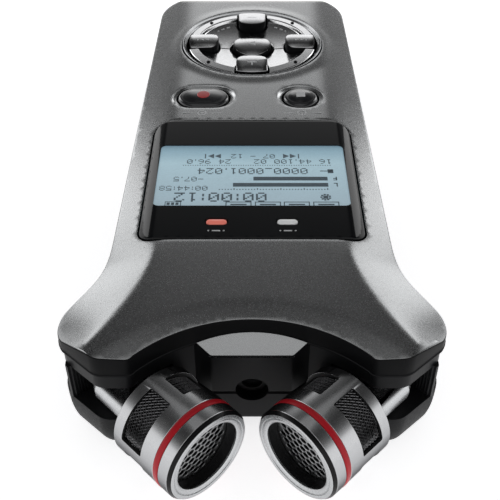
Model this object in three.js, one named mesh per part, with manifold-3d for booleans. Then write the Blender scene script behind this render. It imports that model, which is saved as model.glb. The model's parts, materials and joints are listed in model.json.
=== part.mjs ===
// Portable field recorder with two swivelling microphones, lying on its back.
// Millimetres. +Z is up, out of the face with the keys. -Y is the microphone end and +Y the tail.
// The origin is under the middle of the object, on the surface it lies on.
import * as THREE from "three";
import { mergeVertices } from "three/addons/utils/BufferGeometryUtils.js";
import Module from "manifold-3d";

const wasm = await Module();
wasm.setup();

// ---- driving dimensions ------------------------------------------------------------------------

const TAIL_Y = 79; // tail end of the case
const FACE_Z = 25; // flat middle of the face
const SIDE_DROP = 2.4; // how far the face falls away to its edges
const PANEL_Z = 20.3; // underside of the front panel
const FRAME_TOP = 20; // top of the middle frame
const SEAM_Z = 10; // seam between middle frame and rear case
const WALL = 1.8; // case wall
const GAP = 0.3; // air between touching pieces

const BODY_HALF = 27.5; // half width of the case beside the display
const TAIL_HALF = 26.2; // half width at the tail
const EAR_HALF = 34.2; // half width over the two ears
const EAR_END_Y = -63; // flat end of each ear
const EAR_SLANT = { from: [33, -57.3], to: [27.6, -62.1] }; // its slanted outer corner
const BAY_CENTRE_Y = -81; // centre of the concave edge between the ears
const BAY_RADIUS = 27.4;
const NOSE_Y = -57.5; // front wall of the block that holds the input jack
const NOSE_HALF = 7.2;
const JACK_Z = 10.6; // height of the input jack in the nose

const PIVOT_X = 23.05; // swivel axis of each microphone
const PIVOT_Y = -57.1;
const MIC_Z = 12; // height of the microphone axis
const MIC_RADIUS = 8.75;
const MIC_TURN = 45; // degrees that each microphone points inwards
const EAR_GAP_LOW = 9; // the slot in the ear that the arm swings in
const EAR_GAP_HIGH = 16.9;

const WINDOW = { w: 44.7, y0: -31.8, y1: 10.8, r: 3.6, floor: 23.5 };
const LCD = { w: 40.4, y0: -21.5, y1: 0.6 };
const LED = { x: 7.05, y: -26.6, w: 4.1, h: 1.6 };
const KEY_Z = 20.9; // underside of every key
const ROUND_KEYS = { x: 11.75, y: 21.7, d: 8.5, recordWidth: 12.5, top: 25.6 };
const ARROW_TOP = 26; // top of the four arrow keys, the highest point
const DIAL = { y: 49.95, ring: 18.5, pad: 17.1, rim: 14.8, hub: 5.4 };

const BATTERY = { r: 7.2, length: 50, x: 7.6, y0: 18, z: 9.9 };
const COVER = { half: 16.2, y0: 10.3, z0: 0.35, z1: 2.3, lip: 1.5 };
const TRIPOD_Y = -3;
const TRIPOD_BORE = 2.55; // radius of a 1/4 inch thread at its crests
const SPEAKER = { y: -22, r: 10 };
const CARD_DOOR = { x: -26.05, y0: 0.8, y1: 15.6, z0: 12.55, z1: 18, t: 1.2 };
const SIDE_KEYS = { length: 8.4, height: 3.4, z: 14.2, y: [-5.5, 5.5] };
const SCREWS = [
  [-21.5, -38],
  [21.5, -38],
  [-21, 68.5],
  [21, 68.5],
];

// ---- small tools -------------------------------------------------------------------------------

const turnZ = (degrees) =>
  new THREE.Matrix4().makeRotationZ(THREE.MathUtils.degToRad(degrees));

function solid(geometry) {
  const bare = geometry.index ? geometry.toNonIndexed() : geometry.clone();
  for (const key of Object.keys(bare.attributes)) {
    if (key !== "position") bare.deleteAttribute(key);
  }
  const merged = mergeVertices(bare, 1e-4);
  return new wasm.Manifold(
    new wasm.Mesh({
      numProp: 3,
      vertProperties: merged.attributes.position.array,
      triVerts: new Uint32Array(merged.index.array),
    }),
  );
}

function geometryOf(manifold) {
  const made = manifold.getMesh();
  const count = made.vertProperties.length / made.numProp;
  const positions = new Float32Array(count * 3);
  for (let i = 0; i < count; i++) {
    for (let k = 0; k < 3; k++) {
      positions[3 * i + k] = made.vertProperties[i * made.numProp + k];
    }
  }
  const geometry = new THREE.BufferGeometry();
  geometry.setAttribute("position", new THREE.BufferAttribute(positions, 3));
  geometry.setIndex(new THREE.BufferAttribute(new Uint32Array(made.triVerts), 1));
  geometry.computeVertexNormals();
  return geometry;
}

const union = (...solids) => solids.reduce((a, b) => a.add(b));
const cut = (base, ...tools) => tools.reduce((a, b) => a.subtract(b), base);

function prism(shape, z0, z1, curveSegments = 2) {
  const geometry = new THREE.ExtrudeGeometry(shape, {
    depth: z1 - z0,
    bevelEnabled: false,
    curveSegments,
  });
  return solid(geometry.translate(0, 0, z0));
}

function box(x0, x1, y0, y1, z0, z1) {
  const geometry = new THREE.BoxGeometry(x1 - x0, y1 - y0, z1 - z0);
  return solid(
    geometry.translate((x0 + x1) / 2, (y0 + y1) / 2, (z0 + z1) / 2),
  );
}

function rod(axis, r, from, to, a, b, sides = 16, r2 = r) {
  const geometry = new THREE.CylinderGeometry(r2, r, to - from, sides);
  const middle = (from + to) / 2;
  if (axis === "x") {
    geometry.rotateZ(-Math.PI / 2).translate(middle, a, b);
  } else if (axis === "y") {
    geometry.translate(a, middle, b);
  } else {
    geometry.rotateX(Math.PI / 2).translate(a, b, middle);
  }
  return solid(geometry);
}

// A profile of [radius, height] pairs turned about +Z.
function turned(profile, sides = 24) {
  const points = [...profile, profile[0]].map(([r, z]) => new THREE.Vector2(r, z));
  return solid(new THREE.LatheGeometry(points, sides).rotateX(Math.PI / 2));
}

function roundRect(w, h, r, x = 0, y = 0) {
  const shape = new THREE.Shape();
  const [a, b] = [w / 2, h / 2];
  const corners = [
    [x + a - r, y - b + r, -90],
    [x + a - r, y + b - r, 0],
    [x - a + r, y + b - r, 90],
    [x - a + r, y - b + r, 180],
  ];
  for (const [cx, cy, from] of corners) {
    const start = THREE.MathUtils.degToRad(from);
    shape.absarc(cx, cy, r, start, start + Math.PI / 2, false);
  }
  return shape;
}

// Side walls through rings of equal length, each a list of Vector3, with flat ends.
function loft(rings) {
  const n = rings[0].length;
  const positions = rings.flat().flatMap((p) => [p.x, p.y, p.z]);
  const index = [];
  for (let k = 0; k + 1 < rings.length; k++) {
    for (let i = 0; i < n; i++) {
      const [a, b] = [k * n + i, k * n + ((i + 1) % n)];
      index.push(a, b, b + n, a, b + n, a + n);
    }
  }
  const last = (rings.length - 1) * n;
  const flat = (ring) => ring.map((p) => new THREE.Vector2(p.x, p.y));
  for (const [a, b, c] of THREE.ShapeUtils.triangulateShape(flat(rings[0]), [])) {
    index.push(c, b, a);
  }
  for (const [a, b, c] of THREE.ShapeUtils.triangulateShape(flat(rings.at(-1)), [])) {
    index.push(last + a, last + b, last + c);
  }
  const geometry = new THREE.BufferGeometry();
  geometry.setAttribute("position", new THREE.Float32BufferAttribute(positions, 3));
  geometry.setIndex(index);
  return solid(geometry);
}

// ---- the case outline --------------------------------------------------------------------------

// Seen from above, clockwise from the tail: one side, an ear and the concave edge, all moved
// inwards by d, and then the same on the other side.
function caseOutline(d = 0) {
  const end = EAR_END_Y + d;
  const bay = BAY_RADIUS + d;
  const tipY = end + 1 - BAY_CENTRE_Y;
  const tipX = Math.sqrt(bay * bay - tipY * tipY);
  const half = new THREE.Path();
  half.moveTo(0, TAIL_Y - d);
  half.lineTo(17.5 - 0.4 * d, TAIL_Y - d);
  half.bezierCurveTo(
    22.8 - 0.7 * d,
    TAIL_Y - d,
    TAIL_HALF - d,
    76 - 0.7 * d,
    TAIL_HALF - d,
    70 - 0.4 * d,
  );
  half.lineTo(BODY_HALF - d, -30);
  half.bezierCurveTo(
    BODY_HALF - d,
    -41 + 0.2 * d,
    30.5 - 0.9 * d,
    -43.3 + 0.4 * d,
    EAR_HALF - 0.7 - 0.9 * d,
    -49.6 + 0.4 * d,
  );
  const [slantX, slantY] = EAR_SLANT.from;
  const [footX, footY] = EAR_SLANT.to;
  half.bezierCurveTo(
    EAR_HALF + 0.2 - 0.95 * d,
    -51.6 + 0.3 * d,
    EAR_HALF + 0.6 - 0.9 * d,
    -54.9 + 0.3 * d,
    slantX - 0.8 * d,
    slantY + 0.6 * d,
  );
  half.lineTo(footX - 0.4 * d, footY + 0.9 * d);
  half.quadraticCurveTo(footX - 1.1 - 0.3 * d, end, footX - 2.6 - 0.2 * d, end);
  half.lineTo(tipX + 1.6, end);
  half.quadraticCurveTo(tipX + 0.5, end, tipX, end + 1);
  half.absarc(0, BAY_CENTRE_Y, bay, Math.atan2(tipY, tipX), Math.PI / 2, false);
  const right = half.getPoints(4);
  const seen = right.filter((p, i) => i === 0 || p.distanceTo(right[i - 1]) > 0.01);
  seen[seen.length - 1].x = 0;
  const left = seen.slice(1, -1).map((p) => new THREE.Vector2(-p.x, p.y));
  return [...seen, ...left.reverse()].reverse();
}

const outlineAt = (d, z) => caseOutline(d).map((p) => new THREE.Vector3(p.x, p.y, z));
const outlinePrism = (d, z0, z1) => prism(new THREE.Shape(caseOutline(d)), z0, z1);

// Both sides of a solid, by mirroring it across X = 0.
const bothSides = (tool) => union(tool, tool.mirror([1, 0, 0]));

// Half width of the flat middle of the face: it widens towards the ears.
function creaseX(y) {
  const t = THREE.MathUtils.clamp((-31 - y) / 29, 0, 1);
  return 18.1 + 10.6 * Math.pow(t, 1.7);
}

function edgeX(y) {
  const flare = THREE.MathUtils.smoothstep(-y, 36, 54);
  return THREE.MathUtils.lerp(
    BODY_HALF - ((y + 30) * (BODY_HALF - TAIL_HALF)) / 100,
    EAR_HALF + 0.2,
    flare,
  );
}

// What is cut off the face so that it falls away at the sides, at the tail and at the concave edge.
function faceCutters() {
  const stations = [90, 30, -31, -35, -39, -43, -47, -51, -55, -59, -63, -70];
  const rings = stations.map((y) => {
    const [inner, outer] = [creaseX(y), edgeX(y)];
    const slope = (outer - inner) / 2;
    return [
      [inner, FACE_Z],
      [inner + slope, FACE_Z - 0.8],
      [outer, FACE_Z - SIDE_DROP],
      [outer + slope, FACE_Z - SIDE_DROP - 1.6],
      [outer + slope, FACE_Z + 4],
      [inner, FACE_Z + 4],
    ].map(([x, z]) => new THREE.Vector3(x, z, y));
  });
  const side = loft(rings.reverse()).transform(
    new THREE.Matrix4().makeRotationX(Math.PI / 2).scale(new THREE.Vector3(1, 1, -1)).elements,
  );
  const tail = new THREE.Shape(
    [
      [72.5, FACE_Z],
      [76.2, FACE_Z - 0.7],
      [TAIL_Y, FACE_Z - 2.1],
      [TAIL_Y + 4, FACE_Z - 4.2],
      [TAIL_Y + 4, FACE_Z + 4],
      [72.5, FACE_Z + 4],
    ].map(([y, z]) => new THREE.Vector2(y, z)),
  );
  const tailCut = prism(tail, -40, 40).transform(
    new THREE.Matrix4().set(0, 0, 1, 0, 1, 0, 0, 0, 0, 1, 0, 0, 0, 0, 0, 1).elements,
  );
  const bay = turned(
    [
      [30.3, FACE_Z],
      [30.3, FACE_Z + 4],
      [22, FACE_Z + 4],
      [22, FACE_Z - 1.6],
    ],
    64,
  ).translate([0, BAY_CENTRE_Y + 1.5, 0]);
  return union(bothSides(side), tailCut, bay);
}

const FACE_CUT = faceCutters();

// ---- plans of the keys -------------------------------------------------------------------------

const stadium = (w, h, x, y) => roundRect(w, h, Math.min(w, h) / 2 - 0.01, x, y);

// One of the four arrow keys, pointing along +X from the middle of the dial.
function arrowPlan(halfWidth, innerR, outerR) {
  const shape = new THREE.Shape();
  const lean = Math.asin(halfWidth / outerR);
  shape.moveTo(innerR + halfWidth * 0.7, -halfWidth);
  shape.absarc(0, 0, outerR, -lean, lean, false);
  shape.lineTo(innerR + halfWidth * 0.7, halfWidth);
  shape.quadraticCurveTo(innerR, halfWidth, innerR, 0);
  shape.quadraticCurveTo(innerR, -halfWidth, innerR + halfWidth * 0.7, -halfWidth);
  return shape;
}

const ARROWS = [
  { name: "plus_button", angle: -90, half: 4.1 },
  { name: "minus_button", angle: 90, half: 4.1 },
  { name: "rewind_button", angle: 0, half: 3.6 },
  { name: "forward_button", angle: 180, half: 3.6 },
];

// ---- case shells -------------------------------------------------------------------------------

function frontPanel() {
  const { x, y, d, recordWidth } = ROUND_KEYS;
  const plate = cut(outlinePrism(0, PANEL_Z, FACE_Z), FACE_CUT);
  const windowPlan = roundRect(
    WINDOW.w + 2 * GAP,
    WINDOW.y1 - WINDOW.y0 + 2 * GAP,
    WINDOW.r,
    0,
    (WINDOW.y0 + WINDOW.y1) / 2,
  );
  const lcdOpening = roundRect(LCD.w + 3, LCD.y1 - LCD.y0 + 3, 1.5, 0, (LCD.y0 + LCD.y1) / 2);
  const ledOpenings = bothSides(prism(stadium(LED.w + 1, LED.h + 1, LED.x, LED.y), 15, 30));
  const dish = (w, px) =>
    union(
      prism(stadium(w + 0.8, d + 0.8, px, y), 15, 30),
      prism(stadium(w + 1.7, d + 1.7, px, y), FACE_Z - 0.6, 30),
    );
  const dial = union(
    rod("z", DIAL.pad + 0.6, 15, 30, 0, DIAL.y, 36),
    rod("z", DIAL.ring + GAP, FACE_Z - 2.5, 30, 0, DIAL.y, 36),
  );
  return cut(
    plate,
    prism(windowPlan, WINDOW.floor - GAP, 30),
    prism(lcdOpening, 15, 30),
    ledOpenings,
    dish(recordWidth, -x),
    dish(d, x),
    dial,
    box(-20.5, 20.5, -44, 71, 15, 22.2),
    bothSides(rod("z", 2.3, 15, PANEL_Z + 1.2, PIVOT_X, PIVOT_Y)),
  );
}

// The block between the ears, below the concave edge: 45 degree flanks clear the microphones.
function nose(z0, z1, back = -46) {
  const depth = back - NOSE_Y;
  const plan = [
    [-NOSE_HALF, NOSE_Y],
    [NOSE_HALF, NOSE_Y],
    [NOSE_HALF + depth, back],
    [-NOSE_HALF - depth, back],
  ];
  return prism(new THREE.Shape(plan.map(([x, y]) => new THREE.Vector2(x, y))), z0, z1);
}

// The space round each swivel axis that the arm needs. The ear's outer wall stays.
function armSpace() {
  const wallX = EAR_HALF - 0.6 - WALL;
  return bothSides(
    union(
      rod("z", 7.4, EAR_GAP_LOW, EAR_GAP_HIGH, PIVOT_X, PIVOT_Y, 24),
      box(14, wallX, -70, PIVOT_Y + 4.5, EAR_GAP_LOW, EAR_GAP_HIGH),
      box(PIVOT_X + 3, wallX, -70, PIVOT_Y + 6.5, EAR_GAP_LOW, EAR_GAP_HIGH),
      box(14, 40, -70, PIVOT_Y, EAR_GAP_LOW, EAR_GAP_HIGH),
    ),
  );
}

const pinHole = (z0, z1) => bothSides(rod("z", 1.9, z0, z1, PIVOT_X, PIVOT_Y, 12));
const jackHole = (r) => rod("y", r, NOSE_Y - 5, NOSE_Y + 4, 0, JACK_Z, 20);
const screwPosts = (z0, z1, r) =>
  union(...SCREWS.map(([x, y]) => rod("z", r, z0, z1, x, y, 8)));

function middleFrame() {
  const outer = outlinePrism(0.6, SEAM_Z, FRAME_TOP);
  const room = cut(
    outlinePrism(0.6 + WALL, SEAM_Z - 1, FRAME_TOP + 1),
    box(-40, 40, -70, -46, 0, 30),
  );
  const slope = new THREE.Shape(
    [
      [-53.3, 21.4],
      [-53.3, 26],
      [-60, 26],
      [-60, 18.9],
    ].map(([y, z]) => new THREE.Vector2(y, z)),
  );
  const slopeCut = prism(slope, -40, 40).transform(
    new THREE.Matrix4().set(0, 0, 1, 0, 1, 0, 0, 0, 0, 1, 0, 0, 0, 0, 0, 1).elements,
  );
  const brow = nose(FRAME_TOP - 0.1, 23, -50).intersect(
    rod("z", BAY_RADIUS - GAP, 0, 40, 0, BAY_CENTRE_Y, 72),
  );
  const door = CARD_DOOR;
  const side = 40;
  return cut(
    union(cut(outer, room, armSpace()), nose(SEAM_Z, FRAME_TOP), cut(brow, slopeCut)),
    pinHole(0, 18.9),
    jackHole(3.3),
    box(-4.6, 4.6, NOSE_Y + 2.5, -44, 5, 15),
    box(-side, -20, door.y0 - 0.4, door.y1 + 0.4, door.z0 - 1.1, door.z1 + 0.4),
    rod("y", 0.75, door.y0 - 1.6, door.y1 + 1.6, door.x, door.z0, 8),
    box(-side, -20, -18.2, -9.8, 12, 15.4),
    rod("x", 3.3, 20, side, -20, 13, 20),
    ...SIDE_KEYS.y.map((y) =>
      prismX(roundRect(SIDE_KEYS.length + 0.7, SIDE_KEYS.height + 0.7, 1.6, y, SIDE_KEYS.z), 20, side),
    ),
  );
}

// A shape drawn in (Y, Z), extruded along X.
function prismX(shape, x0, x1) {
  return prism(shape, x0, x1).transform(
    new THREE.Matrix4().set(0, 0, 1, 0, 1, 0, 0, 0, 0, 1, 0, 0, 0, 0, 0, 1).elements,
  );
}

function rearCase() {
  const top = SEAM_Z - GAP;
  const levels = [
    [2.6, 0],
    [1, 1.6],
    [0, 5.5],
    [0, top],
  ];
  const shell = loft(levels.map(([d, z]) => outlineAt(d, z)));
  const room = cut(
    outlinePrism(0.6 + WALL, WALL, 12),
    box(-40, 40, -70, -46, 0, 30),
    box(-40, 40, TAIL_Y - 4, TAIL_Y, 0, 30),
  );
  const rearNose = cut(nose(0, top), box(-20, 20, -60, NOSE_Y + 0.6, -1, 1.2));
  const grooveHalf = COVER.half + COVER.lip + 0.4;
  const slotEnd = (x) => 7 - Math.abs(x) / 2;
  const slots = [-6, -3, 0, 3, 6].map((x) =>
    box(x - 0.7, x + 0.7, SPEAKER.y - slotEnd(x), SPEAKER.y + slotEnd(x), -1, WALL + 1),
  );
  const posts = union(
    screwPosts(WALL - 0.2, top, 3),
    rod("z", 6.6, WALL - 0.2, 8.6, 0, TRIPOD_Y, 20),
  );
  const bayWalls = union(
    box(-21, 21, 10.8, 12.4, WALL - 0.2, top),
    box(-10.6, -4.6, 12.3, 16.5, 4, top),
    bothSides(box(18.6, 21, 10.8, 76, WALL - 0.2, top)),
  );
  return cut(
    union(cut(shell, room, armSpace()), rearNose, posts, bayWalls),
    box(-COVER.half - 0.4, COVER.half + 0.4, COVER.y0 - 0.4, 90, -1, COVER.z1 + 0.4),
    box(-grooveHalf, grooveHalf, COVER.y0 - 0.4, 90, 1, COVER.z1 + 0.4),
    ...slots,
    rod("z", 4.9, -1, 9, 0, TRIPOD_Y, 20),
    screwPosts(-1, 12, 1.3),
    screwPosts(-1, 1.6, 2.4),
    pinHole(2.7, 12),
    jackHole(3.3),
    box(-4.6, 4.6, NOSE_Y + 2.5, -44, 6.4, 12),
  );
}

function batteryCover() {
  const { half, y0, z0, z1, lip } = COVER;
  const plate = union(
    box(-half, half, y0, TAIL_Y - 1.2, z0, z1),
    box(-half - lip, half + lip, y0, TAIL_Y - 1.2, 1.35, z1),
  );
  const ribs = [14, 16, 18, 20].map((y) => box(-6, 6, y, y + 0.8, -1, z0 + 0.3));
  const edge = box(-40, 40, TAIL_Y - 2.2, TAIL_Y, -1, 0.9);
  return cut(plate, edge, ...ribs);
}

// ---- face --------------------------------------------------------------------------------------

function displayWindow() {
  const plan = roundRect(
    WINDOW.w,
    WINDOW.y1 - WINDOW.y0,
    WINDOW.r - 0.3,
    0,
    (WINDOW.y0 + WINDOW.y1) / 2,
  );
  const holes = bothSides(
    prism(stadium(LED.w + 2 * GAP, LED.h + 2 * GAP, LED.x, LED.y), 20, 30),
  );
  return cut(prism(plan, WINDOW.floor, FACE_Z + 0.05), FACE_CUT, holes);
}

function lcdModule() {
  const middle = (LCD.y0 + LCD.y1) / 2;
  const frame = box(-20, 20, LCD.y0 - 2.2, LCD.y1 + 2.2, 19.6, 22);
  const glass = box(-LCD.w / 2, LCD.w / 2, LCD.y0, LCD.y1, 21.5, WINDOW.floor - 0.6);
  const flex = box(-9, 9, middle - 15, middle - 11, 19.8, 20.2);
  return union(frame, glass, flex);
}

const led = (side) => prism(stadium(LED.w, LED.h, side * LED.x, LED.y), 20.4, FACE_Z);

function mainBoard() {
  const board = prism(roundRect(43, 118, 3, 0, 14.5), 18.3, 19.2);
  const notches = [-1, 1].map((side) => rod("z", 3.6, 10, 30, side * 22, -38, 16));
  return cut(board, ...notches);
}

function keypadMat() {
  const mat = prism(roundRect(37.5, 56, 4, 0, 43), 19.5, 20.1);
  const domes = [
    ...ARROWS.map(({ angle }) => {
      const a = THREE.MathUtils.degToRad(angle);
      return [13 * Math.cos(a), DIAL.y + 13 * Math.sin(a)];
    }),
    [0, DIAL.y],
    [-ROUND_KEYS.x, ROUND_KEYS.y],
    [ROUND_KEYS.x, ROUND_KEYS.y],
  ].map(([x, y]) => rod("z", 2, 20, 20.35, x, y, 8, 1.4));
  return union(mat, ...domes);
}

const dialTrimRing = () =>
  turned(
    [
      [DIAL.pad + 0.35, FACE_Z - 2.2],
      [DIAL.ring, FACE_Z - 2.2],
      [DIAL.ring, FACE_Z - 0.1],
      [DIAL.ring - 0.5, FACE_Z + 0.3],
      [DIAL.pad + 0.35, FACE_Z - 0.3],
    ],
    36,
  ).translate([0, DIAL.y, 0]);

// A key with straight sides and an eased top edge.
function cap(plan, ease, top) {
  return union(prism(plan, KEY_Z, top - 0.5), prism(ease, top - 0.6, top));
}

function roundKey(w, x) {
  const { y, d, top } = ROUND_KEYS;
  return cap(stadium(w, d, x, y), stadium(w - 1.2, d - 1.2, x, y), top);
}

function arrowKey({ angle, half }) {
  const body = cap(arrowPlan(half, 8.9, 16.7), arrowPlan(half - 0.5, 9.6, 16.2), ARROW_TOP);
  return body.transform(turnZ(angle).elements).translate([0, DIAL.y, 0]);
}

const playKey = () =>
  turned([
    [0, KEY_Z],
    [DIAL.hub, KEY_Z],
    [DIAL.hub, 23.6],
    [DIAL.hub - 0.7, 24.2],
    [3, 24.6],
    [0, 24.7],
  ]).translate([0, DIAL.y, 0]);

// One of four keys between the arrows: a quarter of a dish with a raised rim.
function quarterKey(sx, sy) {
  const dish = turned(
    [
      [DIAL.hub + 0.5, KEY_Z],
      [DIAL.pad - 0.1, KEY_Z],
      [DIAL.pad - 0.1, FACE_Z - 0.2],
      [DIAL.pad - 0.5, FACE_Z + 0.1],
      [DIAL.rim, FACE_Z + 0.1],
      [DIAL.rim - 0.4, FACE_Z - 0.5],
      [DIAL.hub + 0.5, 22.8],
    ],
    36,
  );
  const arrows = ARROWS.map(({ angle, half }) =>
    prism(arrowPlan(half + 0.5, 8.3, 24), 15, 30).transform(turnZ(angle).elements),
  );
  const x = sx > 0 ? [0.2, 30] : [-30, -0.2];
  const y = sy > 0 ? [0.2, 30] : [-30, -0.2];
  const dot = rod("z", 0.45, 24, FACE_Z + 0.4, sx * 11.2, sy * 11.2, 6, 0.3);
  return cut(union(dish, dot), ...arrows)
    .intersect(box(x[0], x[1], y[0], y[1], 0, 40))
    .translate([0, DIAL.y, 0]);
}

// ---- inside ------------------------------------------------------------------------------------

function battery(side) {
  const { r, length, x, y0, z } = BATTERY;
  const nib = side > 0 ? [y0 + length, y0 + length + 1] : [y0 - 1, y0];
  return union(
    rod("y", r, y0, y0 + length, side * x, z, 24),
    rod("y", 2.7, nib[0] - 0.1, nib[1] + 0.1, side * x, z, 12),
  );
}

// Conical contact spring, wide end on the plate.
function contactSpring(side) {
  const turns = 3;
  const steps = turns * 9;
  const points = [];
  for (let i = 0; i <= steps; i++) {
    const t = i / steps;
    const a = 2 * Math.PI * turns * t;
    const r = 4.6 - 2 * t;
    points.push(new THREE.Vector3(r * Math.cos(a), 3.6 * t, r * Math.sin(a)));
  }
  const section = new THREE.Shape(
    [0, 1, 2, 3, 4].map((k) => {
      const a = (k * 2 * Math.PI) / 5;
      return new THREE.Vector2(0.35 * Math.cos(a), 0.35 * Math.sin(a));
    }),
  );
  const wire = solid(
    new THREE.ExtrudeGeometry(section, {
      steps,
      extrudePath: new THREE.CatmullRomCurve3(points),
      bevelEnabled: false,
    }),
  );
  const { x, y0, length, z } = BATTERY;
  const start = side > 0 ? y0 - 4.8 : y0 + length + 4.8;
  const placed = side > 0 ? wire : wire.mirror([0, 1, 0]);
  return placed.translate([side * x, start, z]);
}

const contactPlate = () => box(-14, 14, 73.7, 74.1, 4.4, 15);

function inputJack() {
  const z = JACK_Z;
  const body = union(
    rod("y", 3, NOSE_Y - 0.1, NOSE_Y + 4, 0, z, 20),
    box(-4, 4, NOSE_Y + 3, -44.6, z - 3.2, z + 3.2),
  );
  return cut(body, rod("y", 1.8, NOSE_Y - 2, -46, 0, z, 12));
}

function headphoneJack() {
  const body = union(
    rod("x", 3, 22, 26.9, -20, 13, 20),
    box(13, 23, -23.6, -16.4, 10.3, 15.9),
  );
  return cut(body, rod("x", 1.8, 15, 30, -20, 13, 12));
}

function usbPort() {
  const y = -14;
  const shell = prismX(roundRect(7.7, 2.7, 0.6, y, 13.7), -26.6, -21);
  return cut(shell, prismX(roundRect(6.9, 1.9, 0.4, y, 13.7), -30, -22.2));
}

function cardSocket() {
  const body = box(-23.8, -6, 1, 15.4, 13.3, 16.9);
  return cut(body, box(-30, -6.8, 2.3, 14.1, 14.1, 16.1));
}

const memoryCard = () => box(-22.4, -7.4, 2.7, 13.7, 14.6, 15.6);

function cardDoor() {
  const { x, y0, y1, z0, z1, t } = CARD_DOOR;
  const plate = box(x - t / 2, x + t / 2, y0, y1, z0, z1);
  const barrel = rod("y", t / 2 + 0.05, y0, y1, x, z0, 16);
  const tab = box(x - t / 2 - 0.4, x, 10, 13, z1 - 1.6, z1 - 0.6);
  return cut(union(plate, barrel, tab), rod("y", 0.42, y0 - 1, y1 + 1, x, z0, 8));
}

function cardDoorPin() {
  const { x, y0, y1, z0 } = CARD_DOOR;
  return rod("y", 0.3, y0 - 1.2, y1 + 1.2, x, z0, 8);
}

function speaker() {
  const { r } = SPEAKER;
  return turned(
    [
      [0, 6.6],
      [0, 3.4],
      [3, 3.2],
      [r - 2, 2.4],
      [r, 2.4],
      [r, 3.4],
      [r - 3.4, 4.6],
      [r - 3.4, 6.6],
    ],
    24,
  ).translate([0, SPEAKER.y, 0]);
}

function tripodInsert() {
  const body = rod("z", 4.5, 0.2, 8.3, 0, TRIPOD_Y, 20);
  return cut(body, rod("z", TRIPOD_BORE, -1, 7.2, 0, TRIPOD_Y, 16));
}

const rearScrew = ([x, y]) =>
  union(
    rod("z", 2, 0.5, 1.3, x, y, 12),
    rod("z", 0.9, 1.2, 13.5, x, y, 8),
  ).subtract(box(x - 1.2, x + 1.2, y - 0.25, y + 0.25, 0, 0.9));

const pivotPin = (side) => rod("z", 1.55, 3, 18.6, side * PIVOT_X, PIVOT_Y, 12);

// ---- side keys ---------------------------------------------------------------------------------

function volumeKey(y) {
  const { length, height, z } = SIDE_KEYS;
  return union(
    prismX(roundRect(length, height, 1.4, y, z), 24.1, 27.6),
    box(23.2, 24.2, y - length / 2 - 0.8, y + length / 2 + 0.8, z - 2.4, z + 2.4),
  );
}

// ---- microphone, along +X from its swivel axis, centred on its own axis ------------------------

// Stations along the microphone, measured from the swivel axis.
const AT = { flange: 8.15, windows: [10.3, 15.2], groove: [18.3, 19.65], cage: 21.55, front: 22.6 };

// A ring of rectangular section about the microphone's axis.
const ring = (inner, outer, from, to) =>
  alongX(
    turned([
      [inner, from],
      [outer, from],
      [outer, to],
      [inner, to],
    ]),
  );

const mic = {
  arm() {
    const [hub, half, width] = [6.3, 2.3, 5.2];
    const neckEnd = AT.flange + 0.8;
    const neck = new THREE.Shape();
    neck.moveTo(0, 0.4 - hub);
    neck.lineTo(4, -width);
    neck.lineTo(neckEnd, -width);
    neck.lineTo(neckEnd, width);
    neck.lineTo(4, width);
    neck.lineTo(0, hub - 0.4);
    const body = union(
      rod("z", hub, -half, half, 0, 0, 24),
      prism(neck, -half, half),
      rod("x", 6.9, AT.flange + 0.3, AT.flange + 1.7, 0, 0, 24),
    );
    return cut(body, rod("z", 1.9, -5, 5, 0, 0, 12));
  },
  cage() {
    const inner = 7.3;
    const bottom = 8.1;
    const wall = [
      [inner, AT.flange],
      [MIC_RADIUS - 0.4, AT.flange],
      [MIC_RADIUS, AT.flange + 0.4],
      [MIC_RADIUS, AT.groove[0]],
      [bottom, AT.groove[0]],
      [bottom, AT.groove[1]],
      [MIC_RADIUS, AT.groove[1]],
      [MIC_RADIUS, AT.cage - 0.3],
      [MIC_RADIUS - 0.4, AT.cage],
      [inner, AT.cage],
    ];
    const [near, far, half] = [4, 12, 0.62];
    const openings = [45, 135, 225, 315].map((angle) => {
      const sector = new THREE.Shape();
      sector.moveTo(near * Math.cos(half), -near * Math.sin(half));
      sector.lineTo(far * Math.cos(half), -far * Math.sin(half));
      sector.lineTo(far * Math.cos(half), far * Math.sin(half));
      sector.lineTo(near * Math.cos(half), near * Math.sin(half));
      return prism(sector, ...AT.windows).transform(turnZ(angle).elements);
    });
    return alongX(cut(turned(wall), ...openings));
  },
  redRing: () => ring(8.35, 8.82, AT.groove[0] + 0.2, AT.groove[1] - 0.2),
  faceRing: () => ring(6.4, 6.95, 20.2, AT.cage),
  mesh: () => ring(6.65, 6.95, 10, 16.6),
  lipRing: () =>
    alongX(
      turned([
        [6.6, AT.cage + 0.3],
        [MIC_RADIUS, AT.cage + 0.3],
        [8.4, AT.front - 0.05],
        [8.2, AT.front],
        [7.3, AT.front],
        [6.6, AT.front - 0.3],
      ]),
    ),
  grille() {
    const [near, far] = [19.3, 19.8];
    const plate = turned([
      [0, near],
      [6.9, near],
      [6.9, far],
      [0, far],
    ]);
    const holes = [0, 1, 2, 3, 4, 5, 6].map((k) => {
      const away = k < 6 ? 3.6 : 0;
      const a = (k * Math.PI) / 3;
      return rod("z", 1.2, near - 1, far + 1, away * Math.cos(a), away * Math.sin(a), 6);
    });
    return alongX(cut(plate, ...holes));
  },
  capsule: () =>
    alongX(
      turned([
        [0, 10.5],
        [4.9, 10.5],
        [4.9, 16.6],
        [4.4, 17.1],
        [0, 17.1],
      ]),
    ),
};

// Turns a solid made about +Z so that it lies along +X, with its top still up.
function alongX(made) {
  return made.transform(
    new THREE.Matrix4().set(0, 0, 1, 0, 0, 1, 0, 0, -1, 0, 0, 0, 0, 0, 0, 1).elements,
  );
}

// ---- materials ---------------------------------------------------------------------------------

const material = (color, roughness, metalness = 0, more = {}) =>
  new THREE.MeshStandardMaterial({ color, roughness, metalness, ...more });

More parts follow.
